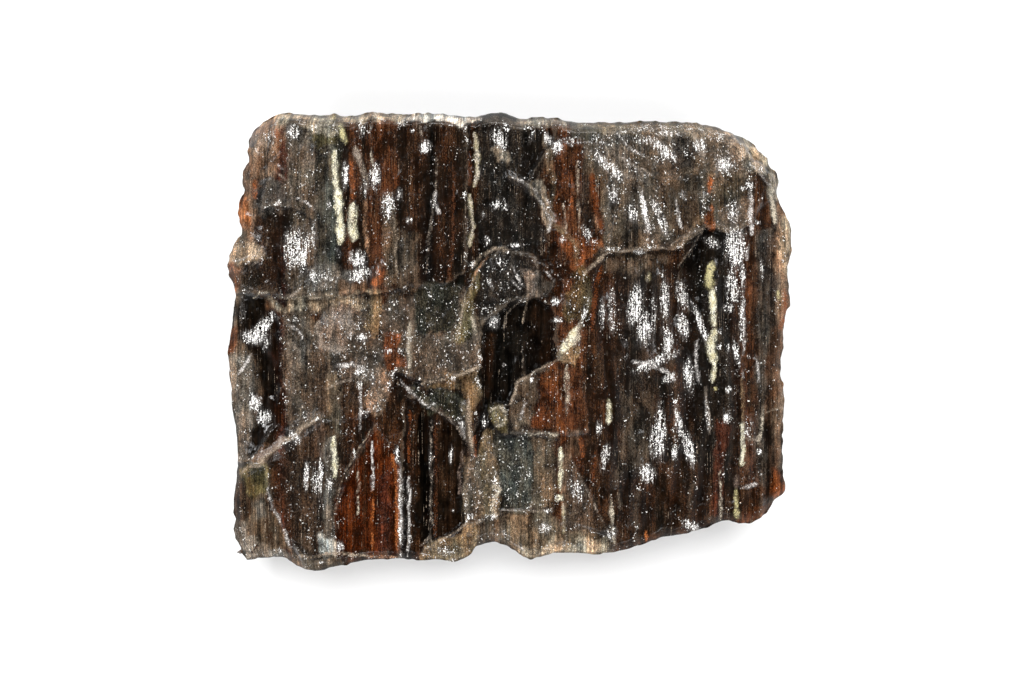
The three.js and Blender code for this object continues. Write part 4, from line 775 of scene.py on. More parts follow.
# Painted highlights: where white and silver grains are painted on as glints.
GLINTS = [
    Glint("white lump", (-18, 41.2), (1.1, 1.2), 0, 1.3),
    Glint("white facet", (40.4, 41.4), (1.2, 1.3), 0, 1.1),
    Glint("white crumb, right", (46.1, -16.6), (0.8, 1), 0, 1.3),
    Glint("white crumb, upper", (46.5, -10.5), (0.6, 0.7), 0, 1.3),
    Glint("white crumb, left", (-32.2, -6.8), (0.9, 0.7), 0, 1.0),
    Glint("upper left top", (-46.2, 44.4), (1.6, 1.6), 0, 0.8),
    Glint("fringe top", (-51.2, 43.6), (1.8, 1.5), 0, 0.45),
    Glint("hollow", (-46, 19.5), (2.1, 4), 0, 1.0),
    Glint("hollow, right", (-43.7, 18.6), (1.0, 4.2), 8, 0.9),
    Glint("hollow, far right", (-42, 22), (0.7, 3), 0, 0.7),
    Glint("slate band", (-38.6, 28.5), (0.7, 1.5), 0, 0.5),
    Glint("under the short seam", (-32.4, 17.2), (1.8, 1.9), 0, 0.85),
    Glint("silver wedge", (-32, 13.9), (2.4, 1.6), -20, 0.95),
    Glint("ledge left", (-41.8, 13.4), (1.4, 1.6), 0, 0.7),
    Glint("ledge middle", (-38.4, 13.2), (2.4, 1.0), 10, 0.6),
    Glint("between the seams", (-35.1, 35), (0.8, 3), 0, 0.8),
    Glint("beside the seams", (-31, 32), (1, 2.4), 0, 0.55),
    Glint("rust foot", (-28.8, 34.6), (1.1, 3), 0, 0.95),
    Glint("rust top", (-31.2, 44.6), (1.6, 1.8), 0, 0.6),
    Glint("grey column", (-26, 28.6), (1.5, 3.2), 0, 0.8),
    Glint("umber", (-23.6, 31), (0.9, 1.6), 0, 0.6),
    Glint("umber dot", (-21.4, 25.4), (0.7, 0.7), 0, 0.8),
    Glint("umber dot, top", (-20.9, 44.6), (0.5, 0.5), 0, 1.0),
    Glint("beside the rod", (-16.4, 29.6), (0.7, 1.8), 0, 0.5),
    Glint("strand", (-18, 19.4), (0.5, 0.6), 0, 0.9),
    Glint("trough top", (-52.2, 3.4), (1.2, 3), 35, 1.0),
    Glint("trough", (-54.6, 0.8), (2.6, 1.7), 0, 1.0),
    Glint("trough tail", (-51.8, -0.6), (0.8, 2), 20, 0.6),
    Glint("trough, low", (-54.4, -13.4), (1.4, 2.2), -20, 0.8),
    Glint("trough, low right", (-52.4, -16.4), (1.6, 1.6), 30, 1.0),
    Glint("trough wall", (-57, 6), (1.2, 3), 0, 0.4),
    Glint("under the boss", (-31.6, 0.4), (1.2, 1.2), 0, 0.8),
    Glint("boss right", (-34.2, 0.8), (0.7, 1.4), 0, 0.6),
    Glint("rust block", (-26, -2.4), (0.8, 0.6), 0, 0.9),
    Glint("rust block, right", (-23.4, -2.2), (0.8, 0.6), 0, 0.7),
    Glint("dot by the bone line", (-21.4, 0.3), (0.5, 0.8), 0, 0.9),
    Glint("dark gap", (-32, -9.6), (0.8, 1), 0, 0.8),
    Glint("pale crumbs", (-29.2, -8), (0.9, 2.4), 0, 0.5),
    Glint("ridge", (-46, -20.6), (2, 1), 50, 0.75),
    Glint("bands", (-43.4, -29), (0.6, 3), 0, 0.8),
    Glint("bands, middle", (-41.5, -30), (0.6, 3.4), 0, 0.9),
    Glint("bands, right", (-40.3, -29), (0.6, 5), 0, 0.8),
    Glint("bands, far right", (-38.6, -31), (0.6, 2), 0, 0.8),
    Glint("dark gap foot", (-33.4, -24.4), (0.6, 1.6), 0, 0.7),
    Glint("sparkling edge", (-23.4, -38), (0.5, 8), 0, 0.9),
    Glint("sparkling edge, top", (-24, -24.4), (0.6, 2), 0, 0.8),
    Glint("arrow foot", (-36.2, -44), (0.9, 1.2), 0, 0.7),
    Glint("lip of the bands", (-43.6, -46.4), (2.2, 0.5), 80, 0.5),
    Glint("arch", (-12.6, -24.4), (0.5, 2), 0, 0.8),
    Glint("arch thread", (-17.1, -25), (0.4, 3.5), 0, 0.5),
    Glint("arch foot", (-12.4, -36.4), (0.5, 0.5), 0, 0.7),
    Glint("moss facet", (-10.4, -17.6), (0.6, 1.8), -25, 0.8),
    Glint("moss facet, left", (-16.4, -13.6), (1, 0.5), 0, 0.5),
    Glint("tan facet", (-12, -8.2), (0.9, 0.5), 0, 0.8),
    Glint("notch crumbs", (-3.8, -37.6), (1.2, 0.7), 0, 0.8),
    Glint("lip crumbs", (-13.8, -45), (1.6, 1.2), 0, 0.7),
    Glint("lip foot", (-12.6, -46.8), (1.4, 0.6), 0, 0.5),
    Glint("red crumbs", (-8.6, -37.6), (0.8, 0.7), 0, 0.9),
    Glint("red crumbs, top", (-8.4, -31.4), (1, 1.5), 0, 0.5),
    Glint("eye side", (-5.4, -17.4), (0.8, 1.8), 0, 0.6),
    Glint("column dot", (4.6, -8.5), (0.5, 0.5), 0, 1),
    Glint("column dot, left", (-1.3, -5.3), (0.4, 0.4), 0, 0.9),
    Glint("top middle", (-2.2, 42.6), (1.8, 2.6), -20, 0.75),
    Glint("top dots", (-3.4, 44.8), (0.5, 0.5), 0, 1),
    Glint("top dots, right", (-0.7, 44.8), (0.6, 0.4), 0, 1),
    Glint("top right of middle", (8, 42.8), (0.8, 1.6), -20, 0.95),
    Glint("shoulder top", (10.2, 41), (1.3, 1.6), 0, 0.9),
    Glint("shoulder arc", (4.6, 43.6), (2.2, 0.5), -70, 0.5),
    Glint("rim crumbs", (13.4, 42.4), (2, 1.2), 0, 0.6),
    Glint("rim crumbs, right", (18.6, 42.6), (2, 1.6), 0, 0.5),
    Glint("black sheet", (-3.1, 28.8), (1, 1), 0, 0.95),
    Glint("black sheet, right", (-1.3, 29), (0.9, 1.6), -20, 0.6),
    Glint("black sheet, left", (-5.6, 26.8), (0.6, 0.9), 0, 0.6),
    Glint("black sheet, low", (-4.8, 21.2), (0.8, 1.2), -30, 0.6),
    Glint("arch rib, right", (1, 20.2), (1.2, 0.5), 0, 0.9),
    Glint("arch rib, top", (-2.2, 16.6), (1.2, 0.7), 60, 0.8),
    Glint("arch rib, left", (-8.2, 16), (0.8, 1.2), 30, 0.7),
    Glint("lump left", (-4.2, 12), (0.6, 1.6), -25, 0.6),
    Glint("lump foot", (-3.6, 4), (1.6, 2), 0, 0.55),
    Glint("lump right", (9.6, 8.2), (1, 1), 0, 0.8),
    Glint("column right", (10, 4.2), (1.4, 0.8), 0, 0.6),
    Glint("saddle top", (16.2, 23), (0.7, 2), -30, 0.9),
    Glint("saddle dots", (11.2, 21.2), (0.8, 0.8), 0, 0.7),
    Glint("saddle right", (15.9, 6), (0.6, 2.6), 15, 0.8),
    Glint("saddle far right", (19.6, 6), (0.7, 4), 0, 0.7),
    Glint("left of the ripples", (21.6, 6), (1, 6), 0, 0.6),
    Glint("sheet top", (32.6, 40.4), (1.2, 3.2), -50, 1.0),
    Glint("sheet top, left", (29, 42.6), (2.4, 1), 0, 0.75),
    Glint("sheet rim", (34, 44), (3.4, 0.8), 0, 0.7),
    Glint("sheet rim, left", (28, 45), (3, 1), 0, 0.6),
    Glint("sheet silver", (21, 37), (1.3, 5), -48, 0.75),
    Glint("sheet silver, right", (25.6, 37), (1, 3.2), -35, 0.6),
    Glint("sheet bone", (22, 31.2), (1.2, 2.6), -20, 0.7),
    Glint("sheet middle", (26.2, 27), (1.1, 2), -10, 0.9),
    Glint("sheet streak", (28.6, 27.6), (0.7, 5), -12, 0.85),
    Glint("sheet streak, right", (32, 26), (0.9, 3.6), -22, 1.0),
    Glint("sheet streak, far right", (36, 26), (0.4, 3), -10, 0.6),
    Glint("sheet crumbs", (46, 37.4), (2.2, 2), 0, 0.8),
    Glint("sheet crumbs, low", (47.6, 27.4), (2.2, 3), 0, 0.6),
    Glint("sheet right", (51.2, 33), (1, 0.9), 0, 1.0),
    Glint("sheet right, dot", (49.6, 32.4), (0.6, 0.5), 0, 0.9),
    Glint("sheet dots", (41.4, 31), (0.7, 0.4), 0, 0.9),
    Glint("ledge dots", (27.6, 18.8), (1.4, 0.6), 0, 0.95),
    Glint("ledge dots, left", (22, 19), (1.4, 0.6), 0, 0.4),
    Glint("wedge crumbs", (43, 20.8), (2, 1.3), 30, 0.6),
    Glint("right block", (48, 20), (2.2, 4.4), 0, 0.95),
    Glint("right block, low", (47.4, 11.6), (1.5, 3.6), 0, 0.85),
    Glint("right block, foot", (46.6, 6.8), (1.2, 1.2), 0, 0.8),
    Glint("right edge", (49.6, 13.6), (0.6, 3), 0, 0.9),
    Glint("right edge, low", (49.4, 4), (0.6, 5), 0, 0.9),
    Glint("slate seam", (53.6, 15), (0.5, 3), 0, 0.6),
    Glint("bay", (52.8, 25), (0.6, 0.5), 0, 0.9),
    Glint("ripples, first", (26.6, 7.4), (1.5, 4), 8, 1.0),
    Glint("ripples, second", (28.6, 2.4), (1.6, 3.4), 0, 0.95),
    Glint("ripples, third", (33, 8.6), (1, 4.6), 0, 0.75),
    Glint("ripples, fourth", (33.4, 0), (1.2, 3.4), 0, 0.95),
    Glint("ripples, fifth", (36.6, 9.4), (1.1, 3.2), -12, 1.0),
    Glint("ripples, sixth", (36.8, 3), (1.3, 3), -12, 0.8),
    Glint("ripples, seventh", (40.6, 3.4), (0.7, 4.4), -20, 1.0),
    Glint("ripples, eighth", (30.6, 5), (0.7, 5), 0, 0.6),
    Glint("ripples, ninth", (38, -7.6), (1.1, 4), -5, 0.85),
    Glint("scar edge", (31, -4.6), (1.1, 5), 66, 0.9),
    Glint("scar edge, right", (34, -8), (1.2, 1.6), 60, 0.8),
    Glint("belly", (32, -19.6), (1.1, 5.4), 0, 1.0),
    Glint("belly, left", (30.4, -21.6), (0.8, 3.6), 0, 0.8),
    Glint("belly, right", (36, -18), (0.8, 4), -12, 0.9),
    Glint("belly, far right", (38, -23), (1.1, 4), -15, 0.95),
    Glint("belly, low right", (35, -24), (0.6, 1.5), 0, 0.9),
    Glint("belly foot", (29.2, -28.4), (1.6, 2), -20, 0.9),
    Glint("beside the belly", (20.2, -25), (0.9, 3), 10, 0.8),
    Glint("beside the belly, top", (19, -18.6), (0.7, 1.6), 0, 0.8),
    Glint("crest right", (42, -16), (0.5, 4), -6, 0.7),
    Glint("crest far right", (48.2, -2.6), (0.6, 3), -10, 1.0),
    Glint("crest dot", (46.5, -1.6), (0.4, 1.2), 0, 0.8),
    Glint("slate crest", (50.6, -19), (1.6, 3), 0, 0.5),
    Glint("rim dots", (53, -23.8), (0.7, 0.8), 0, 0.8),
    Glint("foot", (38.6, -39.6), (2.2, 1.2), 30, 0.75),
    Glint("foot, left", (21.6, -41), (1.2, 1.6), 0, 0.7),
    Glint("near the slate", (14.2, -32), (1.6, 3), -25, 0.65),
    Glint("under the slate", (7.4, -40), (1.8, 1.4), 0, 0.6),
    Glint("under the slate, left", (-0.8, -41.4), (0.6, 1.6), -30, 0.6),
    Glint("slate foot", (8, -36.4), (1.2, 0.7), 0, 0.6),
]


# ---------------------------------------------------------------- plane geometry on arrays of points

LATTICE_SIZE = 128
LATTICE = np.random.default_rng(11).uniform(-1, 1, (LATTICE_SIZE, LATTICE_SIZE))


def smooth(x):
    """Eases 0 to 1 into 0 to 1, and holds what is outside."""
    x = np.clip(x, 0, 1)
    return x * x * (3 - 2 * x)


def spaced(points, count=1500):
    """Points spread evenly along a smooth curve through the given ones."""
    known = np.array(points, float)
    padded = np.vstack([2 * known[0] - known[1], known, 2 * known[-1] - known[-2]])
    t = np.linspace(0, 1, 12, endpoint=False)[:, None]
    pieces = []
    for a, b, c, d in zip(padded, padded[1:], padded[2:], padded[3:]):
        pieces.append(b + 0.5 * t * (c - a + t * (2 * a - 5 * b + 4 * c - d + t * (3 * (b - c) + d - a))))
    curve = np.vstack(pieces + [known[-1:]])
    along = np.append(0, np.cumsum(np.linalg.norm(np.diff(curve, axis=0), axis=1)))
    at = np.linspace(0, along[-1], count)
    return np.stack([np.interp(at, along, curve[:, axis]) for axis in (0, 1)], axis=1)


def nearest_on_path(p, path):
    """How far each point of p is from the line through the path's points, and how far along it that is, as a
    share of its whole length."""
    nearest = np.full(len(p), np.inf)
    progress = np.zeros(len(p))
    lengths = np.linalg.norm(np.diff(path, axis=0), axis=1)
    starts = np.append(0, np.cumsum(lengths))
    for a, b, length, start in zip(path[:-1], path[1:], lengths, starts):
        step = np.subtract(b, a)
        share = np.clip((p - a) @ step / max(step @ step, 1e-9), 0, 1)
        distance = np.linalg.norm(p - a - share[:, None] * step, axis=1)
        progress = np.where(distance < nearest, (start + share * length) / starts[-1], progress)
        nearest = np.minimum(nearest, distance)
    return nearest, progress


def distance_to_path(p, path):
    return nearest_on_path(p, path)[0]


def depth_inside(p, corners):
    """How deep each point of p lies inside a closed outline; less than 0 outside it."""
    within = np.zeros(len(p), bool)
    for a, b in zip(corners, corners[1:] + corners[:1]):
        if a[1] != b[1]:
            crosses = (a[1] > p[:, 1]) != (b[1] > p[:, 1])
            within ^= crosses & (p[:, 0] < a[0] + (p[:, 1] - a[1]) * (b[0] - a[0]) / (b[1] - a[1]))
    edge = distance_to_path(p, corners + corners[:1])
    return np.where(within, edge, -edge)


def near(p, points, margin):
    """The indexes of the points of p that are within a margin of the box around some other points."""
    low = np.min(points, axis=0) - margin
    high = np.max(points, axis=0) + margin
    return np.flatnonzero(np.all((p > low) & (p < high), axis=1))


def lattice(column, row):
    """The random numbers of -1 to 1 at places in a lattice that repeats for ever."""
    return LATTICE[column % LATTICE_SIZE, row % LATTICE_SIZE]


def noise(p, size, layer=0, stretch=1):
    """Smooth noise of -1 to 1 that changes over about `size`, drawn out up the face by `stretch`."""
    x = p[:, 0] / size + 17.3 * layer
    y = p[:, 1] / (size * stretch) + 31.7 * layer
    left, low = np.floor(x).astype(int), np.floor(y).astype(int)
    across, up = smooth(x - left), smooth(y - low)
    lower = lattice(left, low) * (1 - across) + lattice(left + 1, low) * across
    upper = lattice(left, low + 1) * (1 - across) + lattice(left + 1, low + 1) * across
    return lower * (1 - up) + upper * up


def chips(p, size, layer=0, stretch=1):
    """Broken facets of about `size`: each cell of a jittered grid is a plane with its own tilt."""
    x = p[:, 0] / size + 5.1 * layer
    y = p[:, 1] / (size * stretch) + 9.7 * layer
    left, low = np.floor(x).astype(int), np.floor(y).astype(int)
    nearest = np.full(len(p), np.inf)
    height = np.zeros(len(p))
    for i in (-1, 0, 1):
        for j in (-1, 0, 1):
            a, b = left + i, low + j
            dx = x - left - i - 0.5 - 0.45 * lattice(a, b)
            dy = y - low - j - 0.5 - 0.45 * lattice(b, a)
            gap = dx * dx + dy * dy
            tilt = dx * lattice(a + 40, b) + dy * lattice(a, b + 40)
            height = np.where(gap < nearest, tilt, height)
            nearest = np.minimum(nearest, gap)
    return height


def ragged(p, amount=1.0):
    """The points of p, moved a little to and fro so that a line through them breaks up."""
    across = noise(p, 2.6, 1) + 0.5 * noise(p, 0.9, 2)
    up = noise(p, 2.6, 3) + 0.5 * noise(p, 0.9, 4)
    return p + 0.45 * amount * np.stack([across, up], axis=1)


def frayed(p):
    """The points of p, moved so that a patch's outline wanders and frays, more up the face than across."""
    across = 0.8 * noise(p, 4.5, 22) + 0.45 * noise(p, 1.4, 23)
    up = 1.5 * noise(p, 3.4, 24) + 0.9 * noise(p, 1.1, 25)
    return p + np.stack([across, up], axis=1)


# ---------------------------------------------------------------- the stone's shape

RUNS = {side: spaced(points) for side, points in EDGE.items()}
OUTLINE = np.vstack([RUNS["left"], RUNS["top"], RUNS["right"][::-1], RUNS["bottom"][::-1]])


def on_run(side, share):
    """The points at shares of 0 to 1 along an edge run."""
    run = RUNS[side]
    at = share * (len(run) - 1)
    return np.stack([np.interp(at, np.arange(len(run)), run[:, axis]) for axis in (0, 1)], axis=1)


def on_face(s, t):
    """The points of the face for s across and t up it, spread evenly between the four edge runs."""
    bl, br, tl, tr = (np.array(corner) for corner in (
        EDGE["left"][0], EDGE["right"][0], EDGE["left"][-1], EDGE["right"][-1]))
    across = on_run("left", t) * (1 - s)[:, None] + on_run("right", t) * s[:, None]
    up = on_run("bottom", s) * (1 - t)[:, None] + on_run("top", s) * t[:, None]
    low = bl + s[:, None] * (br - bl)
    high = tl + s[:, None] * (tr - tl)
    return across + up - low - t[:, None] * (high - low)


def ripple_height(p):
    """How far the ripples raise or sink each point, fading in from the edges of their part of the face."""
    u, v = p[:, 0], p[:, 1]
    low, high = RIPPLES["from"], RIPPLES["to"]
    inset = np.minimum.reduce([u - low[0], high[0] - u, v - low[1], high[1] - v])
    phase = (u + RIPPLES["sway"] * np.sin(v / 9)) / RIPPLES["spacing"]
    strength = 0.7 + 0.3 * np.sin(u / 2.3 + v / 11)
    return RIPPLES["height"] * strength * np.sin(2 * np.pi * phase) * np.clip(inset / RIPPLES["fade"], 0, 1)


def glint_strength(p):
    """How crumbled the glass is at each point and how thickly it is painted with glints, 0 to 1."""
    total = np.zeros(len(p))
    for glint in GLINTS:
        lean = math.radians(glint.lean)
        which = near(p, [glint.at], 2.2 * max(glint.half))
        offset = p[which] - glint.at
        along = offset @ [math.sin(lean), math.cos(lean)] / glint.half[1]
        across = offset @ [math.cos(lean), -math.sin(lean)] / glint.half[0]
        reach = np.exp(-(along**2 + across**2) / 1.1)
        total[which] = np.maximum(total[which], glint.strength * reach)
    return total


def frostiness(p):
    """How sugary the surface is at each point, 0 to 1."""
    total = np.full(len(p), PLAIN_FROST)
    for patch in PATCHES:
        which = near(p, patch.corners, patch.soft)
        share = smooth(0.5 + depth_inside(ragged(p[which]), patch.corners) / (patch.soft + 0.6))
        total[which] += (patch.frost - total[which]) * share
    return total


def bevel(p):
    """How near each point is to the outline: 1 on it, and 0 where the face is no longer rounded off."""
    u, v = p[:, 0], p[:, 1]
    edge = OUTLINE[::12]  # still close enough together to measure from
    to_edge = np.full(len(p), np.inf)
    beside = np.flatnonzero((np.abs(u) > MIDDLE[0]) | (np.abs(v) > MIDDLE[1]))
    to_edge[beside] = distance_to_path(p[beside], np.vstack([edge, edge[:1]]))
    return 1 - np.clip(to_edge / np.where(v > TOP_FROM, TOP_BEVEL[0], RIM_ROUND[0]), 0, 1)


def face_height(p):
    """The face's height over its mean plane at each point."""
    u, v = p[:, 0], p[:, 1]
    height = 0.5 * np.sin(u / 13 + 1) * np.cos(v / 17)
    broken = ragged(p)
    for sheet in SHEETS:
        middle = np.mean(sheet.corners, axis=0)
        depth = depth_inside(broken, sheet.corners)
        share = smooth(0.5 + depth / STEP_WIDTH)
        level = sheet.rise + sheet.right * (u - middle[0]) + sheet.up * (v - middle[1])
        level -= sheet.hollow * np.clip(np.abs(depth) / 5, 0, 1)
        height += (level - height) * share
    for swelling in SWELLINGS:
        distance = distance_to_path(p, swelling.path)
        height += swelling.height * np.exp(-((distance / swelling.width) ** 2))
    height += ripple_height(p)
    height += grain_height(p)
    drop = np.where(v > TOP_FROM, TOP_BEVEL[1], RIM_ROUND[1])
    return height - drop * bevel(p) ** 2


def grain_height(p):
    """Fine relief: flow lines up the face, hackles, and the crumbs where the glass is crumbled."""
    frost = frostiness(p)
    crushed = glint_strength(p)
    lines = 0.10 * noise(p, 0.9, 5, stretch=9) + 0.07 * noise(p, 1.7, 6, stretch=7)
    flakes = 0.16 * chips(p, 2.6, 7, stretch=1.5) + (0.07 + 0.16 * frost) * chips(p, 1.2, 8, stretch=1.4)
    crumbs = (0.05 * frost + 0.28 * crushed) * chips(p, 0.75, 9, stretch=1.5)
    broad = 0.22 * noise(p, 5.5, 10) + 0.12 * noise(p, 2.4, 11)
    return lines + flakes + crumbs + broad


def drawn_out(p, w):
    """Moves points that lie w above the mean plane so that, from the eye over the face, each is still seen
    at its own u and v."""
    return EYE[:2] + (p - EYE[:2]) * (1 - w / EYE[2])[:, None]


def ground_level(v, above):
    """The face frame's w at which a point with that v is so far above the ground."""
    return (above - FACE_HEIGHT - v * math.sin(LEAN)) / math.cos(LEAN)


def inward(p):
    """The way from each point near the outline towards the stone's core, as a step of one millimetre."""
    to_core = np.clip(p, [-CORE[0], -CORE[1]], CORE) - p
    return to_core / np.maximum(np.linalg.norm(to_core, axis=1), 1e-6)[:, None]


def rim_place(p, down):
    """Where the rim is below the outline points p, for 0 to 1 of the way down to just under the ground."""
    start = face_height(p)
    p = drawn_out(p, start)
    u, v = p[:, 0], p[:, 1]
    way = inward(p)
    reach = UNDERCUT["side"] + (UNDERCUT["top"] - UNDERCUT["side"]) * np.clip(-way[:, 1], 0, 1)
    swell = 0.6 * np.sin(u / 5 + 7 * down) * np.sin(v / 6 - 5 * down) * np.sin(np.pi * down)
    out = p + way * (reach * down**1.4 + swell)[:, None]
    w = start * (1 - down) + ground_level(v, -BELOW_GROUND) * down
    return np.column_stack([out, w])


def scar_bitten(place, down):
    """The rim's places, moved back to where shell-shaped pieces broke off, with faint shell rings."""
    drawn_in = 3  # about how far in the rim already is where the scars are
    for scar in SCARS:
        along = 1 if scar.edge in ("left", "right") else 0
        run = RUNS[scar.edge]
        middle = run[np.argmin(np.abs(run[:, along] - scar.at))]
        out = -inward(middle[None])[0]
        centre = np.append(middle + out * (scar.radius - scar.bite - drawn_in), -scar.below)
        offset = place - centre
        distance = np.linalg.norm(offset, axis=1)
        ring = 0.12 * np.sin(place @ [0.9, 1.3, 2.1])
        pushed = centre + offset * ((scar.radius + ring) / np.maximum(distance, 1e-6))[:, None]
        share = (distance < scar.radius) * smooth(down * 5)
        place = place + (pushed - place) * share[:, None]
    return place


def rim_relief(place, down):
    """Small chips and hackles down the rim, fading in below the face's edge."""
    turned = np.column_stack([place[:, 0] + place[:, 1] * 0.7, place[:, 2] - place[:, 1] * 0.4])
    relief = 0.5 * noise(turned, 6, 12) + 0.45 * chips(turned, 3.4, 13) + 0.2 * chips(turned, 1.3, 14)
    moved = place.copy()
    moved[:, :2] += inward(place[:, :2]) * (relief * smooth(down * 6))[:, None]
    return moved


def averaged(grid, reach):
    """A grid of heights, each averaged with those up to `reach` cells away both ways."""
    share = np.ones(2 * reach + 1) / (2 * reach + 1)
    for axis in (0, 1):
        grid = np.apply_along_axis(
            lambda line: np.convolve(np.pad(line, reach, mode="edge"), share, "valid"), axis, grid)
    return grid


# The glass paints shade into the hollows and light onto the crests by this measure.
def crest_of(height):
    """How far each place of the face stands out from what is around it: 0 in a hollow, 0.5 on the flat and 1
    on a crest."""
    grid = height.reshape(FACE_CELLS[1] + 1, FACE_CELLS[0] + 1)
    close, far = averaged(grid, 3), averaged(averaged(grid, 8), 8)
    return np.clip(0.5 + 1.1 * (grid - close) + 0.22 * (close - far), 0, 1).ravel()


def flat_grid():
    """A fine grid with the rows of the rim hung round it. Each vertex holds as its origin how far across and
    up the face it is, and how far down the rim, all from 0 to 1."""
    bm = bmesh.new()
    bmesh.ops.create_grid(bm, x_segments=FACE_CELLS[0], y_segments=FACE_CELLS[1], size=1)
    origin = bm.verts.layers.float_vector.new("origin")
    bm.verts.layers.float.new("crest")
    for vert in bm.verts:
        vert[origin] = ((vert.co.x + 1) / 2, (vert.co.y + 1) / 2, 0)
    ring = [edge for edge in bm.edges if edge.is_boundary]
    for row in range(1, RIM_ROWS + 1):
        made = bmesh.ops.extrude_edge_only(bm, edges=ring)["geom"]
        ring = [item for item in made if isinstance(item, bmesh.types.BMEdge) and item.is_boundary]
        for vert in {vert for edge in ring for vert in edge.verts}:
            vert[origin].z = row / RIM_ROWS
    return bm


def break_stone(bm):
    """Moves the grid's vertices onto the stone's surface. Each then holds as its origin its u and v, and as
    its crest how far it stands out."""
    origin = bm.verts.layers.float_vector["origin"]
    crest = bm.verts.layers.float["crest"]
    start = np.array([tuple(vert[origin]) for vert in bm.verts])
    down = start[:, 2] ** 1.3  # the rows are closer together near the edge
    p = on_face(start[:, 0], start[:, 1])
    p += 0.22 * np.column_stack([noise(p, 1.1, 15), noise(p, 1.1, 16)])  # hides the grid's lines
    on_rim = start[:, 2] > 0
    place = np.column_stack([p, np.zeros(len(p))])
    height = face_height(p[~on_rim])
    place[~on_rim] = np.column_stack([drawn_out(p[~on_rim], height), height])
    rim = scar_bitten(rim_place(p[on_rim], down[on_rim]), down[on_rim])
    place[on_rim] = rim_relief(rim, down[on_rim])
    stands_out = np.full(len(p), 0.6)
    stands_out[~on_rim] = crest_of(height)
    for vert, at, (u, v), out in zip(bm.verts, place, p, stands_out):
        vert.co = Vector(at)
        vert[origin] = (u, v, vert[origin].z)
        vert[crest] = out


def close_at_ground(bm):
    """Cuts the rim off flat at the ground, and fills the base in."""
    everything = bm.verts[:] + bm.edges[:] + bm.faces[:]
    bmesh.ops.bisect_plane(bm, geom=everything, plane_co=(0, 0, 0), plane_no=(0, 0, 1), clear_inner=True)
    cut = [edge for edge in bm.edges if edge.is_boundary]
    base = bmesh.ops.holes_fill(bm, edges=cut, sides=0)["faces"]
    bmesh.ops.triangulate(bm, faces=base)
    bmesh.ops.recalc_face_normals(bm, faces=bm.faces)


def stone_mesh():
    """The whole stone, closed all round and standing on the ground."""
    bm = flat_grid()
    break_stone(bm)
    bm.transform(Matrix.Scale(MM, 4) @ STAND)
    close_at_ground(bm)
    mesh = bpy.data.meshes.new("obsidian slab")
    bm.to_mesh(mesh)
    bm.free()
    return mesh


# ---------------------------------------------------------------- the stone's looks, as vertex attributes

def linear(name):
    """A named colour as the linear numbers that the renderer works with."""
    return np.array([c / 12.92 if c < 0.04045 else ((c + 0.055) / 1.055) ** 2.4
                     for c in (value / 255 for value in COLOURS[name])])


def laid_over(under, colour, share):
    """Colours with their own cover in the fourth column, under a new colour that covers them by a share."""
    return under + (np.append(colour, 1) - under) * share[:, None]


def stroke_share(p, stroke):
    """The points that a stroke reaches, and how far it covers each of them."""
    which = near(p, stroke.path, stroke.width + 1)
    distance, progress = nearest_on_path(ragged(p[which], 0.45), stroke.path)
    taper = 0.45 + 0.55 * np.sqrt(np.clip(5 * progress * (1 - progress), 0, 1))
    swell = 1 + 0.35 * noise(p[which], 1.3, 20, stretch=1.5)
    half = 0.42 * stroke.width * taper * swell
    broken = 0.8 + 0.4 * noise(p[which], 0.8, 21, stretch=2) + 0.45 * noise(p[which], 3, 26)
    return which, stroke.cover * smooth(0.5 + (half - distance) / (0.4 + 0.9 * half)) * np.clip(broken, 0, 1)


def patch_colours(p):
    """The patches' colour at each point, already weakened by its cover, and that cover."""
    layers = np.zeros((len(p), 4))
    for patch in PATCHES:
        which = near(p, patch.corners, patch.soft + 3)
        depth = depth_inside(frayed(p[which]), patch.corners)
        share = patch.cover * smooth(0.5 + depth / patch.soft)
        layers[which] = laid_over(layers[which], linear(patch.colour), share)
    return layers


def line_colours(p):
    """The same for the lines and seams."""
    layers = np.zeros((len(p), 4))
    for stroke in STROKES + SEAMS:
        which, share = stroke_share(p, stroke)
        layers[which] = laid_over(layers[which], linear(stroke.colour), share)
    return layers


def edge_colour_and_glow(p, down):
    """How far the face's patch colours and the edge's painted glow reach down the flank: 1 along the edge,
    and gone a few millimetres under it, sooner or later from place to place."""
    u, v = p[:, 0], p[:, 1]
    how_soon = 17 + 7 * np.sin(0.9 * u + 1.3 * v) + 4 * np.sin(2.3 * u - 1.7 * v + 1)
    return 1 - smooth(how_soon * down)


def finish_of(p, down):
    """Four looks at each point, 0 to 1: frost, crumbs with painted glints, chalky seam, and the rim. The rim
    rises to 0.5 where the face rounds off, and to 1 just under the edge, where the flank gets a painted
    glow."""
    seams = np.zeros(len(p))
    for seam in SEAMS:
        which, share = stroke_share(p, seam)
        seams[which] = np.maximum(seams[which], share)
    face = 1 - smooth(down * 3)
    # where the flank just under the edge gets a painted glow
    glowing_edge = smooth(20 * down) * edge_colour_and_glow(p, 0.7 * down)
    return np.column_stack([
        frostiness(p) * face + FLANK_FROST * (1 - face), glint_strength(p) * face, seams * face,
        0.5 * smooth(1.6 * bevel(p)) + 0.5 * glowing_edge])


def add_colours(mesh, name, values):
    layer = mesh.attributes.new(name, "FLOAT_COLOR", "POINT")
    layer.data.foreach_set("color", np.clip(values, 0, 1).astype(np.float32).ravel())


def paint(mesh):
    """Turns each point's place on the face into the looks that the glass takes there."""
    places = np.zeros(len(mesh.vertices) * 3, np.float32)
    mesh.attributes["origin"].data.foreach_get("vector", places)
    places = places.reshape(-1, 3).astype(float)
    mesh.attributes.remove(mesh.attributes["origin"])
    p, down = places[:, :2], places[:, 2]
    add_colours(mesh, "patches", patch_colours(p) * edge_colour_and_glow(p, down)[:, None])
    add_colours(mesh, "lines", line_colours(p) * (1 - smooth(down * 3))[:, None])
    add_colours(mesh, "finish", finish_of(p, down))


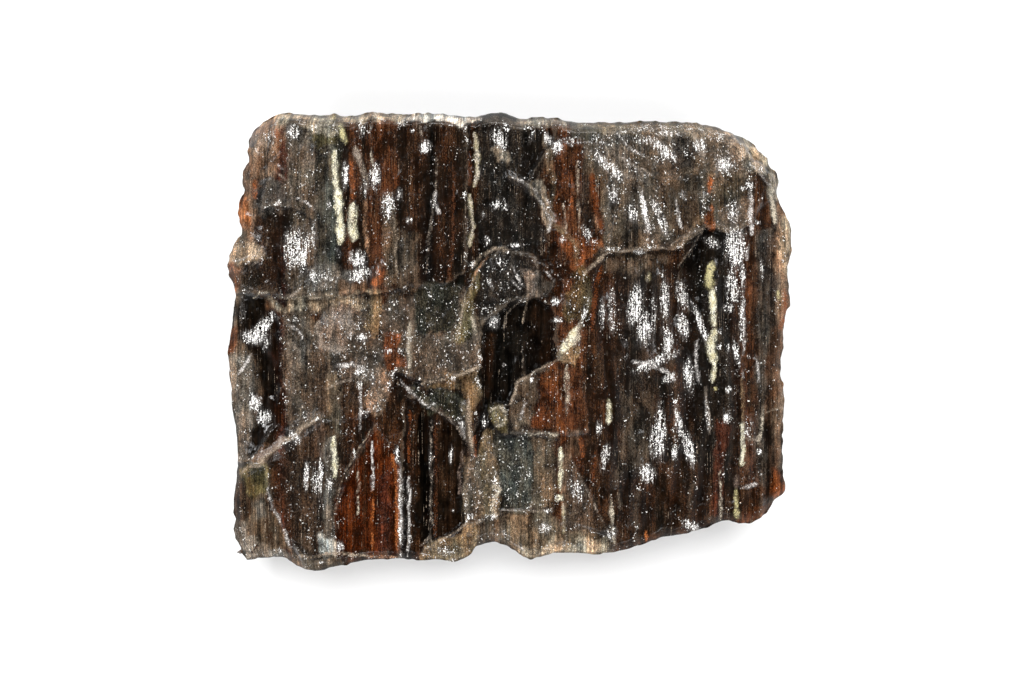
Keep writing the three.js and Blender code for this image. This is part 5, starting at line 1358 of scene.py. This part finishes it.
# ---------------------------------------------------------------- materials

def add_node(tree, kind, inputs, output=0, **settings):
    """Adds a node whose inputs are values or other nodes' outputs, and returns its output."""
    node = tree.nodes.new(kind)
    for name, value in settings.items():
        setattr(node, name, value)
    for name, value in inputs.items():
        if isinstance(value, bpy.types.NodeSocket):
            tree.links.new(value, node.inputs[name])
        else:
            node.inputs[name].default_value = value
    return node.outputs[output]


def rgba(name):
    return (*linear(name), 1)


def cleared_tree(holder):
    """The node tree of a material or a world, emptied."""
    holder.use_nodes = True
    holder.node_tree.nodes.clear()
    return holder.node_tree


def add_surface(tree, inputs):
    shader = add_node(tree, "ShaderNodeBsdfPrincipled", inputs)
    tree.links.new(shader, tree.nodes.new("ShaderNodeOutputMaterial").inputs["Surface"])


class Graph:
    """Short names for the nodes that work out numbers and colours."""

    def __init__(self, tree):
        self.tree = tree

    def calc(self, operation, a, b, clamp=False):
        return add_node(self.tree, "ShaderNodeMath", {0: a, 1: b}, operation=operation, use_clamp=clamp)

    def scaled(self, value, by, plus):
        return add_node(self.tree, "ShaderNodeMath", {0: value, 1: by, 2: plus}, operation="MULTIPLY_ADD")

    def rise(self, value, low, high, reach=1.0):
        """0 below the low value, `reach` above the high one, and eased between."""
        inputs = {"Value": value, "From Min": low, "From Max": high, "To Min": 0.0, "To Max": reach}
        return add_node(self.tree, "ShaderNodeMapRange", inputs, interpolation_type="SMOOTHSTEP")

    def mean(self, share, a, b):
        """Between a and b, which are numbers, by a share."""
        return add_node(self.tree, "ShaderNodeMix", {0: share, 2: a, 3: b}, data_type="FLOAT")

    def blend(self, share, a, b, kind="MIX"):
        """Between a and b, which are colours, by a share."""
        settings = {"data_type": "RGBA", "blend_type": kind, "clamp_factor": True}
        return add_node(self.tree, "ShaderNodeMix", {0: share, 6: a, 7: b}, 2, **settings)

    def filtered(self, colour, red, green, blue):
        """A colour with its red, green and blue each made stronger or weaker."""
        return self.blend(1.0, colour, (red, green, blue, 1), "MULTIPLY")

    def laid_over(self, under, colour, cover):
        """A colour that its cover has already weakened, over another colour."""
        uncovered = self.calc("SUBTRACT", 1.0, cover)
        return self.blend(1.0, self.blend(1.0, under, uncovered, "MULTIPLY"), colour, "ADD")

    def split(self, colour):
        """The red, green and blue of a colour, each a number of its own."""
        node = self.tree.nodes.new("ShaderNodeSeparateColor")
        self.tree.links.new(colour, node.inputs[0])
        return node.outputs

    def attribute(self, name):
        node = self.tree.nodes.new("ShaderNodeAttribute")
        node.attribute_name = name
        return node.outputs


class Glass(Graph):
    """The looks of the stone's glass. `at` is the place on the face in its own millimetres, `patches` and
    `lines` are the listed colours, and `tint`, `chance` and `order` are random for each tiny grain. The
    rest say, as 0 to 1, how frosted, clean or chalky the glass is, how crumbled and painted with glints,
    how far it stands out (which paints shade into hollows and light onto crests), how near the rim is and
    how much painted glow the edge has."""

    def __init__(self, tree):
        super().__init__(tree)
        back = Matrix.Rotation(-LEAN, 3, "X")
        shift = back @ Vector((0, FACE_SHIFT, FACE_HEIGHT))
        stone = add_node(tree, "ShaderNodeTexCoord", {}, "Object")
        self.at = add_node(tree, "ShaderNodeMapping", {
            "Vector": stone, "Scale": (1 / MM,) * 3, "Rotation": (-LEAN, 0, 0), "Location": -shift},
            vector_type="POINT")
        self.patches, self.lines, finish = (self.attribute(name) for name in ("patches", "lines", "finish"))
        self.frost, self.crushed, self.seam = self.split(finish["Color"])
        self.clean = self.scaled(self.frost, -1.0, 1.0)
        self.crest = self.attribute("crest")["Fac"]
        self.rim = self.rise(finish["Alpha"], 0.0, 0.5)
        # the painted glow just under the edge
        self.edge_glow = self.rise(finish["Alpha"], 0.4, 0.62)
        self.chance, tint, self.order = self.split(self.cells(scale=(6.2, 4.8, 4.8), shift=23))
        self.tint = self.calc("MULTIPLY", tint, tint)
        self.fine_lines = self.drifts((3.0, 0.08), shift=5, detail=4.0, rough=0.7, between=(0.36, 0.64))

    def stretched(self, scale, shift):
        """The place scaled differently across, up and out of the face, for a pattern that is drawn out."""
        inputs = {"Vector": self.at, "Scale": scale, "Location": (shift, 0.6 * shift, 0)}
        return add_node(self.tree, "ShaderNodeMapping", inputs, vector_type="POINT")

    def cells(self, scale, shift):
        """Cells with a random colour each, so many to a millimetre each way."""
        inputs = {"Vector": self.stretched(scale, shift), "Scale": 1.0}
        return add_node(self.tree, "ShaderNodeTexVoronoi", inputs, "Color")

    def noise(self, scale, shift=0, detail=2.0, rough=0.5):
        """Noise of 0 to 1. Its scale is how often it changes in a millimetre across the face, and up it."""
        across, up = scale
        inputs = {"Vector": self.stretched((across, up, up), shift), "Scale": 1.0,
                  "Detail": detail, "Roughness": rough}
        return add_node(self.tree, "ShaderNodeTexNoise", inputs)

    def drifts(self, scale, shift, detail, rough, between, reach=1.0):
        """The same, eased from 0 below the first of two values to `reach` above the second."""
        return self.rise(self.noise(scale, shift, detail, rough), *between, reach)

    def banded(self):
        """Bands that wander, with a ragged edge, and the listed colours over them."""
        u = add_node(self.tree, "ShaderNodeSeparateXYZ", {"Vector": self.at}, "X")
        wander = self.noise((0.10, 0.05))
        fray = self.noise((2.1, 0.13), shift=7, detail=3.0, rough=0.6)
        moved = self.calc("ADD", u, self.scaled(wander, 3.0, -1.5))
        colour = flow_bands(self, self.calc("ADD", moved, self.scaled(fray, 2.0, -1.0)))
        return self.laid_over(colour, self.patches["Color"], self.patches["Alpha"])

    def shaded(self, colour):
        """Clouds, flow lines where the glass is clean, grit where it is frosted, painted shade in hollows,
        painted light on crests.
        """
        clouds = self.drifts((0.34, 0.22), shift=9, detail=5.0, rough=0.75, between=(0.33, 0.67))
        broad = self.drifts((0.75, 0.05), shift=3, detail=3.0, rough=0.6, between=(0.32, 0.68))
        grit = self.drifts((3.4, 2.4), shift=11, detail=3.0, rough=0.75, between=(0.36, 0.64))
        # painted shade in the hollows and painted light on the crests, as a share of the colour
        hollow_shade = self.rise(self.crest, 0.05, 0.5, 0.55)
        crest_light = self.rise(self.crest, 0.5, 1.0, 0.25)
        faint_lines = self.scaled(self.fine_lines, 0.3, 0.75)
        clear_lines = self.scaled(self.fine_lines, 1.0, 0.42)
        shade = self.scaled(clouds, 1.23, 0.23)
        for part in (
            self.mean(self.clean, 0.9, self.scaled(broad, 1.1, 0.35)),
            self.mean(self.clean, faint_lines, clear_lines),
            self.scaled(self.calc("ADD", hollow_shade, crest_light), 1.0, 0.45),
            self.mean(self.frost, self.scaled(grit, 0.3, 0.85), self.scaled(grit, 0.9, 0.5)),
        ):
            shade = self.calc("MULTIPLY", shade, part)
        return self.blend(1.0, colour, shade, "MULTIPLY")

    def tinted(self, colour):
        """Warmer and cooler streaks and clouds, and frosted glass greyer than clean glass."""
        warmth = self.drifts((1.2, 0.12), shift=15, detail=2.0, rough=0.6, between=(0.35, 0.65))
        cool, warm = self.filtered(colour, 0.95, 1.0, 1.0), self.filtered(colour, 1.06, 0.98, 0.86)
        colour = self.blend(warmth, cool, warm)
        hue = self.drifts((0.26, 0.12), shift=47, detail=4.0, rough=0.6, between=(0.36, 0.64))
        cool, warm = self.filtered(colour, 0.78, 0.88, 0.92), self.filtered(colour, 1.12, 1.0, 0.88)
        colour = self.blend(hue, cool, warm)
        return self.blend(self.frost, colour, self.filtered(colour, 0.94, 0.98, 1.06))

    def lit_through(self, colour):
        """Painted light: crests blended towards sand as if lit through thin glass, and the edge painted
        nearly twice as light.
        """
        # painted light through thin glass at the crests
        crest_glow = self.calc("MULTIPLY", self.calc("ADD", self.crest, self.frost), self.crest)
        colour = self.blend(self.rise(crest_glow, 0.6, 1.5, 0.12), colour, rgba("sand"))
        # painted glow on the edge just under the rim
        return self.blend(1.0, colour, self.scaled(self.edge_glow, 0.9, 1.0), "MULTIPLY")

    def salted(self, colour):
        """A salt of tiny grains: each is a little lighter or darker than the glass around it."""
        salt = self.mean(self.frost, self.scaled(self.tint, 1.1, 0.64), self.scaled(self.tint, 2.3, 0.25))
        return self.blend(1.0, colour, salt, "MULTIPLY")

    def lined(self, colour):
        """The lines drawn on it: a thin veil, and grains that thicken towards their middle."""
        cover = self.lines["Alpha"]
        crumble = self.noise((1.3, 0.9), shift=33, detail=3.0, rough=0.7)
        dusted = self.calc("ADD", cover, self.scaled(crumble, 1.0, -0.5))
        dusted = self.calc("MULTIPLY", dusted, self.rise(cover, 0.0, 0.15))
        grains = self.rise(self.calc("SUBTRACT", self.scaled(dusted, 1.2, 0.0), self.order), 0.0, 0.25)
        kept = self.calc("MAXIMUM", grains, self.calc("MULTIPLY", dusted, 0.5), clamp=True)
        strength = self.calc("DIVIDE", kept, self.calc("MAXIMUM", cover, 0.05))
        strength = self.calc("MULTIPLY", strength, self.scaled(self.tint, 0.5, 0.7))
        return self.laid_over(colour, self.blend(1.0, self.lines["Color"], strength, "MULTIPLY"), kept)

    def chalky(self, colour):
        """Yellow-brown stains and a few dark pits in the chalk of the seams."""
        stains = self.drifts((0.9, 0.6), shift=31, detail=3.0, rough=0.7, between=(0.48, 0.6), reach=0.7)
        colour = self.blend(self.calc("MULTIPLY", self.seam, stains), colour, rgba("khaki"))
        pits = self.drifts((1.5, 0.9), shift=53, detail=2.0, rough=0.6, between=(0.62, 0.66), reach=0.9)
        return self.blend(self.calc("MULTIPLY", self.seam, pits), colour, rgba("moss"))

    def haired(self, colour):
        """Thin pale hairlines along the flow of clean glass, which come and go."""
        hairs = self.drifts((4.2, 0.07), shift=17, detail=1.0, rough=0.5, between=(0.64, 0.72))
        come_and_go = self.drifts((0.5, 0.4), shift=19, detail=2.0, rough=0.7, between=(0.48, 0.58))
        hairs = self.calc("MULTIPLY", hairs, come_and_go)
        hairs = self.calc("MULTIPLY", hairs, self.rise(self.order, 0.3, 0.7, 0.7))
        return self.blend(self.calc("MULTIPLY", hairs, self.clean), colour, rgba("sand"))

    def glittering(self, colour):
        """Painted highlights: white grains that stand for glints, thick where the glass is crumbled, in
        clusters where it is frosted, along crests, else rare; silver streaks, and the glass under glints
        painted darker.
        """
        tufts = self.drifts((1.5, 0.6), shift=25, detail=3.0, rough=0.65, between=(0.38, 0.66))
        clumps = self.drifts((0.5, 0.38), shift=27, detail=4.0, rough=0.75, between=(0.45, 0.7))
        fibres = self.drifts((2.8, 0.3), shift=61, detail=3.0, rough=0.65, between=(0.42, 0.64))
        crushed = self.rise(self.crushed, 0.1, 0.95)
        streaks = self.calc("MULTIPLY", crushed, fibres)
        thick = self.calc("MULTIPLY", crushed, self.scaled(tufts, 0.4, 0.08))
        thick = self.calc("ADD", thick, self.scaled(streaks, 0.52, 0.0))
        sparse = self.calc("MULTIPLY", self.scaled(self.frost, 0.92, 0.08), self.scaled(clumps, 0.22, 0.03))
        # painted highlights along the crests
        edge = self.calc("MULTIPLY", self.rise(self.crest, 0.62, 1.0), self.rise(clumps, 0.3, 1.0, 0.4))
        density = self.calc("MAXIMUM", thick, self.calc("ADD", sparse, edge))
        silver = self.calc("MULTIPLY", streaks, self.scaled(self.tint, 0.7, 0.2))
        white = self.rise(self.calc("SUBTRACT", density, self.chance), 0.0, 0.08)
        # the glass under painted glints is painted darker, then silver streaks and white grains as
        # highlights
        colour = self.blend(self.scaled(self.crushed, 0.5, 0.0), colour, rgba("ink"))
        colour = self.blend(silver, colour, rgba("silver"))
        return self.blend(white, colour, rgba("white"))

    def relief(self):
        """Relief too fine for the mesh: flow lines, facets, and grains where the glass is frosted."""
        grains = self.calc("MULTIPLY", self.tint, self.scaled(self.frost, 0.2, 0.0))
        facets = self.scaled(self.cells(scale=(1.1, 0.7, 0.9), shift=37), 0.05, 0.0)
        bump = self.calc("ADD", self.scaled(self.fine_lines, 0.03, 0.0), facets)
        bump = self.calc("ADD", bump, grains)
        return add_node(self.tree, "ShaderNodeBump", {"Height": bump, "Strength": 0.6, "Distance": 0.0006})

    def roughness(self):
        rough = self.calc("ADD", self.scaled(self.frost, 0.28, 0.07), self.scaled(self.seam, 0.4, 0.0))
        return self.calc("ADD", rough, self.scaled(self.rim, 0.2, 0.0), clamp=True)


def flow_bands(graph, u):
    """The band colours for places u across the stone."""
    node = graph.tree.nodes.new("ShaderNodeValToRGB")
    ramp = node.color_ramp
    low, high = -62, 62  # a little past the stone on both sides
    stops = [((at - low) / (high - low), rgba(colour)) for at, colour in BANDS]
    ramp.elements[0].position, ramp.elements[0].color = stops[0]
    ramp.elements[1].position, ramp.elements[1].color = stops[-1]
    for position, colour in stops[1:-1]:
        ramp.elements.new(position).color = colour
    share = graph.calc("DIVIDE", graph.calc("SUBTRACT", u, low), high - low)
    graph.tree.links.new(share, node.inputs[0])
    return node.outputs[0]


def obsidian():
    """Flow-banded volcanic glass in brown, rust, grey and black: clean glass where it broke smoothly, a
    sugary frost where it splintered, glittering crumbs, and chalky cream seams."""
    material = bpy.data.materials.new("banded obsidian")
    tree = cleared_tree(material)
    glass = Glass(tree)
    colour = glass.banded()
    for look in (glass.shaded, glass.tinted, glass.lit_through, glass.salted, glass.lined, glass.chalky,
                 glass.haired, glass.glittering):
        colour = look(colour)
    add_surface(tree, {
        "Base Color": colour, "Roughness": glass.roughness(), "Normal": glass.relief(), "IOR": 1.49,
        "Specular IOR Level": glass.scaled(glass.rim, -0.4, 0.5)})
    return material


def pale_floor():
    material = bpy.data.materials.new("pale floor")
    tree = cleared_tree(material)
    add_surface(tree, {"Base Color": (0.9, 0.9, 0.9, 1), "Roughness": 0.6, "Specular IOR Level": 0.2})
    return material


# ---------------------------------------------------------------- the scene

def add_stone():
    mesh = stone_mesh()
    paint(mesh)
    mesh.materials.append(obsidian())
    mesh.shade_smooth()
    mesh.set_sharp_from_angle(angle=SHARP_FROM)
    stone = bpy.data.objects.new("obsidian_slab_glass", mesh)
    bpy.context.scene.collection.objects.link(stone)
    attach(stone, "root")
    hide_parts("obsidian_slab")


def add_floor():
    bm = bmesh.new()
    bmesh.ops.create_grid(bm, x_segments=1, y_segments=1, size=FLOOR_REACH)
    mesh = bpy.data.meshes.new("floor")
    bm.to_mesh(mesh)
    bm.free()
    mesh.materials.append(pale_floor())
    floor = bpy.data.objects.new("floor", mesh)
    bpy.context.scene.collection.objects.link(floor)


class Softbox(NamedTuple):
    """A soft light that looks at the stone from an azimuth and an elevation in degrees, and a distance in
    metres, with its size and its power in watts. Azimuth 0 is over the stone's upper edge (+Y), 90 is to its
    right. A `glint` box is seen only in the glass, and the others only light it and the floor."""

    name: str
    azimuth: float
    elevation: float
    distance: float
    size: tuple
    power: float
    glint: bool


SOFTBOXES = [
    Softbox("key", 0, 71, 1.2, (0.9, 0.8), 17, False),
    Softbox("front fill", 180, 50, 1.2, (1.0, 0.6), 14, False),
    Softbox("glint top", 0, 48, 1.0, (0.3, 0.12), 2.6, True),
    Softbox("glint left", 290, 45, 0.9, (0.08, 0.25), 1.2, True),
    Softbox("glint right", 65, 45, 0.9, (0.08, 0.25), 1.2, True),
    Softbox("glint front", 180, 35, 0.9, (0.35, 0.08), 0.8, True),
]


def add_lights():
    for box in SOFTBOXES:
        azimuth, elevation = math.radians(box.azimuth), math.radians(box.elevation)
        lamp = bpy.data.lights.new(box.name, "AREA")
        lamp.shape = "RECTANGLE"
        lamp.size, lamp.size_y = box.size
        lamp.energy = box.power
        light = bpy.data.objects.new(box.name, lamp)
        towards = Vector((math.sin(azimuth) * math.cos(elevation), math.cos(azimuth) * math.cos(elevation),
                          math.sin(elevation)))
        light.location = towards * box.distance
        light.rotation_euler = towards.to_track_quat("Z", "Y").to_euler()
        light.visible_glossy = box.glint
        light.visible_diffuse = not box.glint
        bpy.context.scene.collection.objects.link(light)


def add_world():
    """A room that is dim straight overhead and pale round the sides."""
    world = bpy.data.worlds.new("room")
    tree = cleared_tree(world)
    graph = Graph(tree)
    looking = add_node(tree, "ShaderNodeTexCoord", {}, "Generated")
    height = add_node(tree, "ShaderNodeSeparateXYZ", {"Vector": looking}, "Z")
    dim, pale = 0.003, 0.35
    strength = graph.calc("ADD", graph.rise(height, 0.64, 0.25, pale), dim)
    light = add_node(tree, "ShaderNodeBackground", {"Color": (1, 1, 1, 1), "Strength": strength})
    tree.links.new(light, tree.nodes.new("ShaderNodeOutputWorld").inputs["Surface"])
    bpy.context.scene.world = world


def add_camera():
    """Looks straight down on the face, square to it, from the eye over it."""
    data = bpy.data.cameras.new("camera")
    data.lens = 39
    data.sensor_width = 36
    data.clip_start = 0.01
    camera = bpy.data.objects.new("camera", data)
    bpy.context.scene.collection.objects.link(camera)
    aim = STAND @ Vector((EYE[0], EYE[1], 0))
    out = Vector((0, -math.sin(LEAN), math.cos(LEAN)))
    camera.location = (aim + out * EYE[2]) * MM
    camera.rotation_euler = (LEAN, 0, 0)
    bpy.context.scene.camera = camera


add_stone()
add_floor()
add_lights()
add_world()
add_camera()

scene = bpy.context.scene
scene.view_settings.view_transform = "Standard"
scene.view_settings.look = "None"
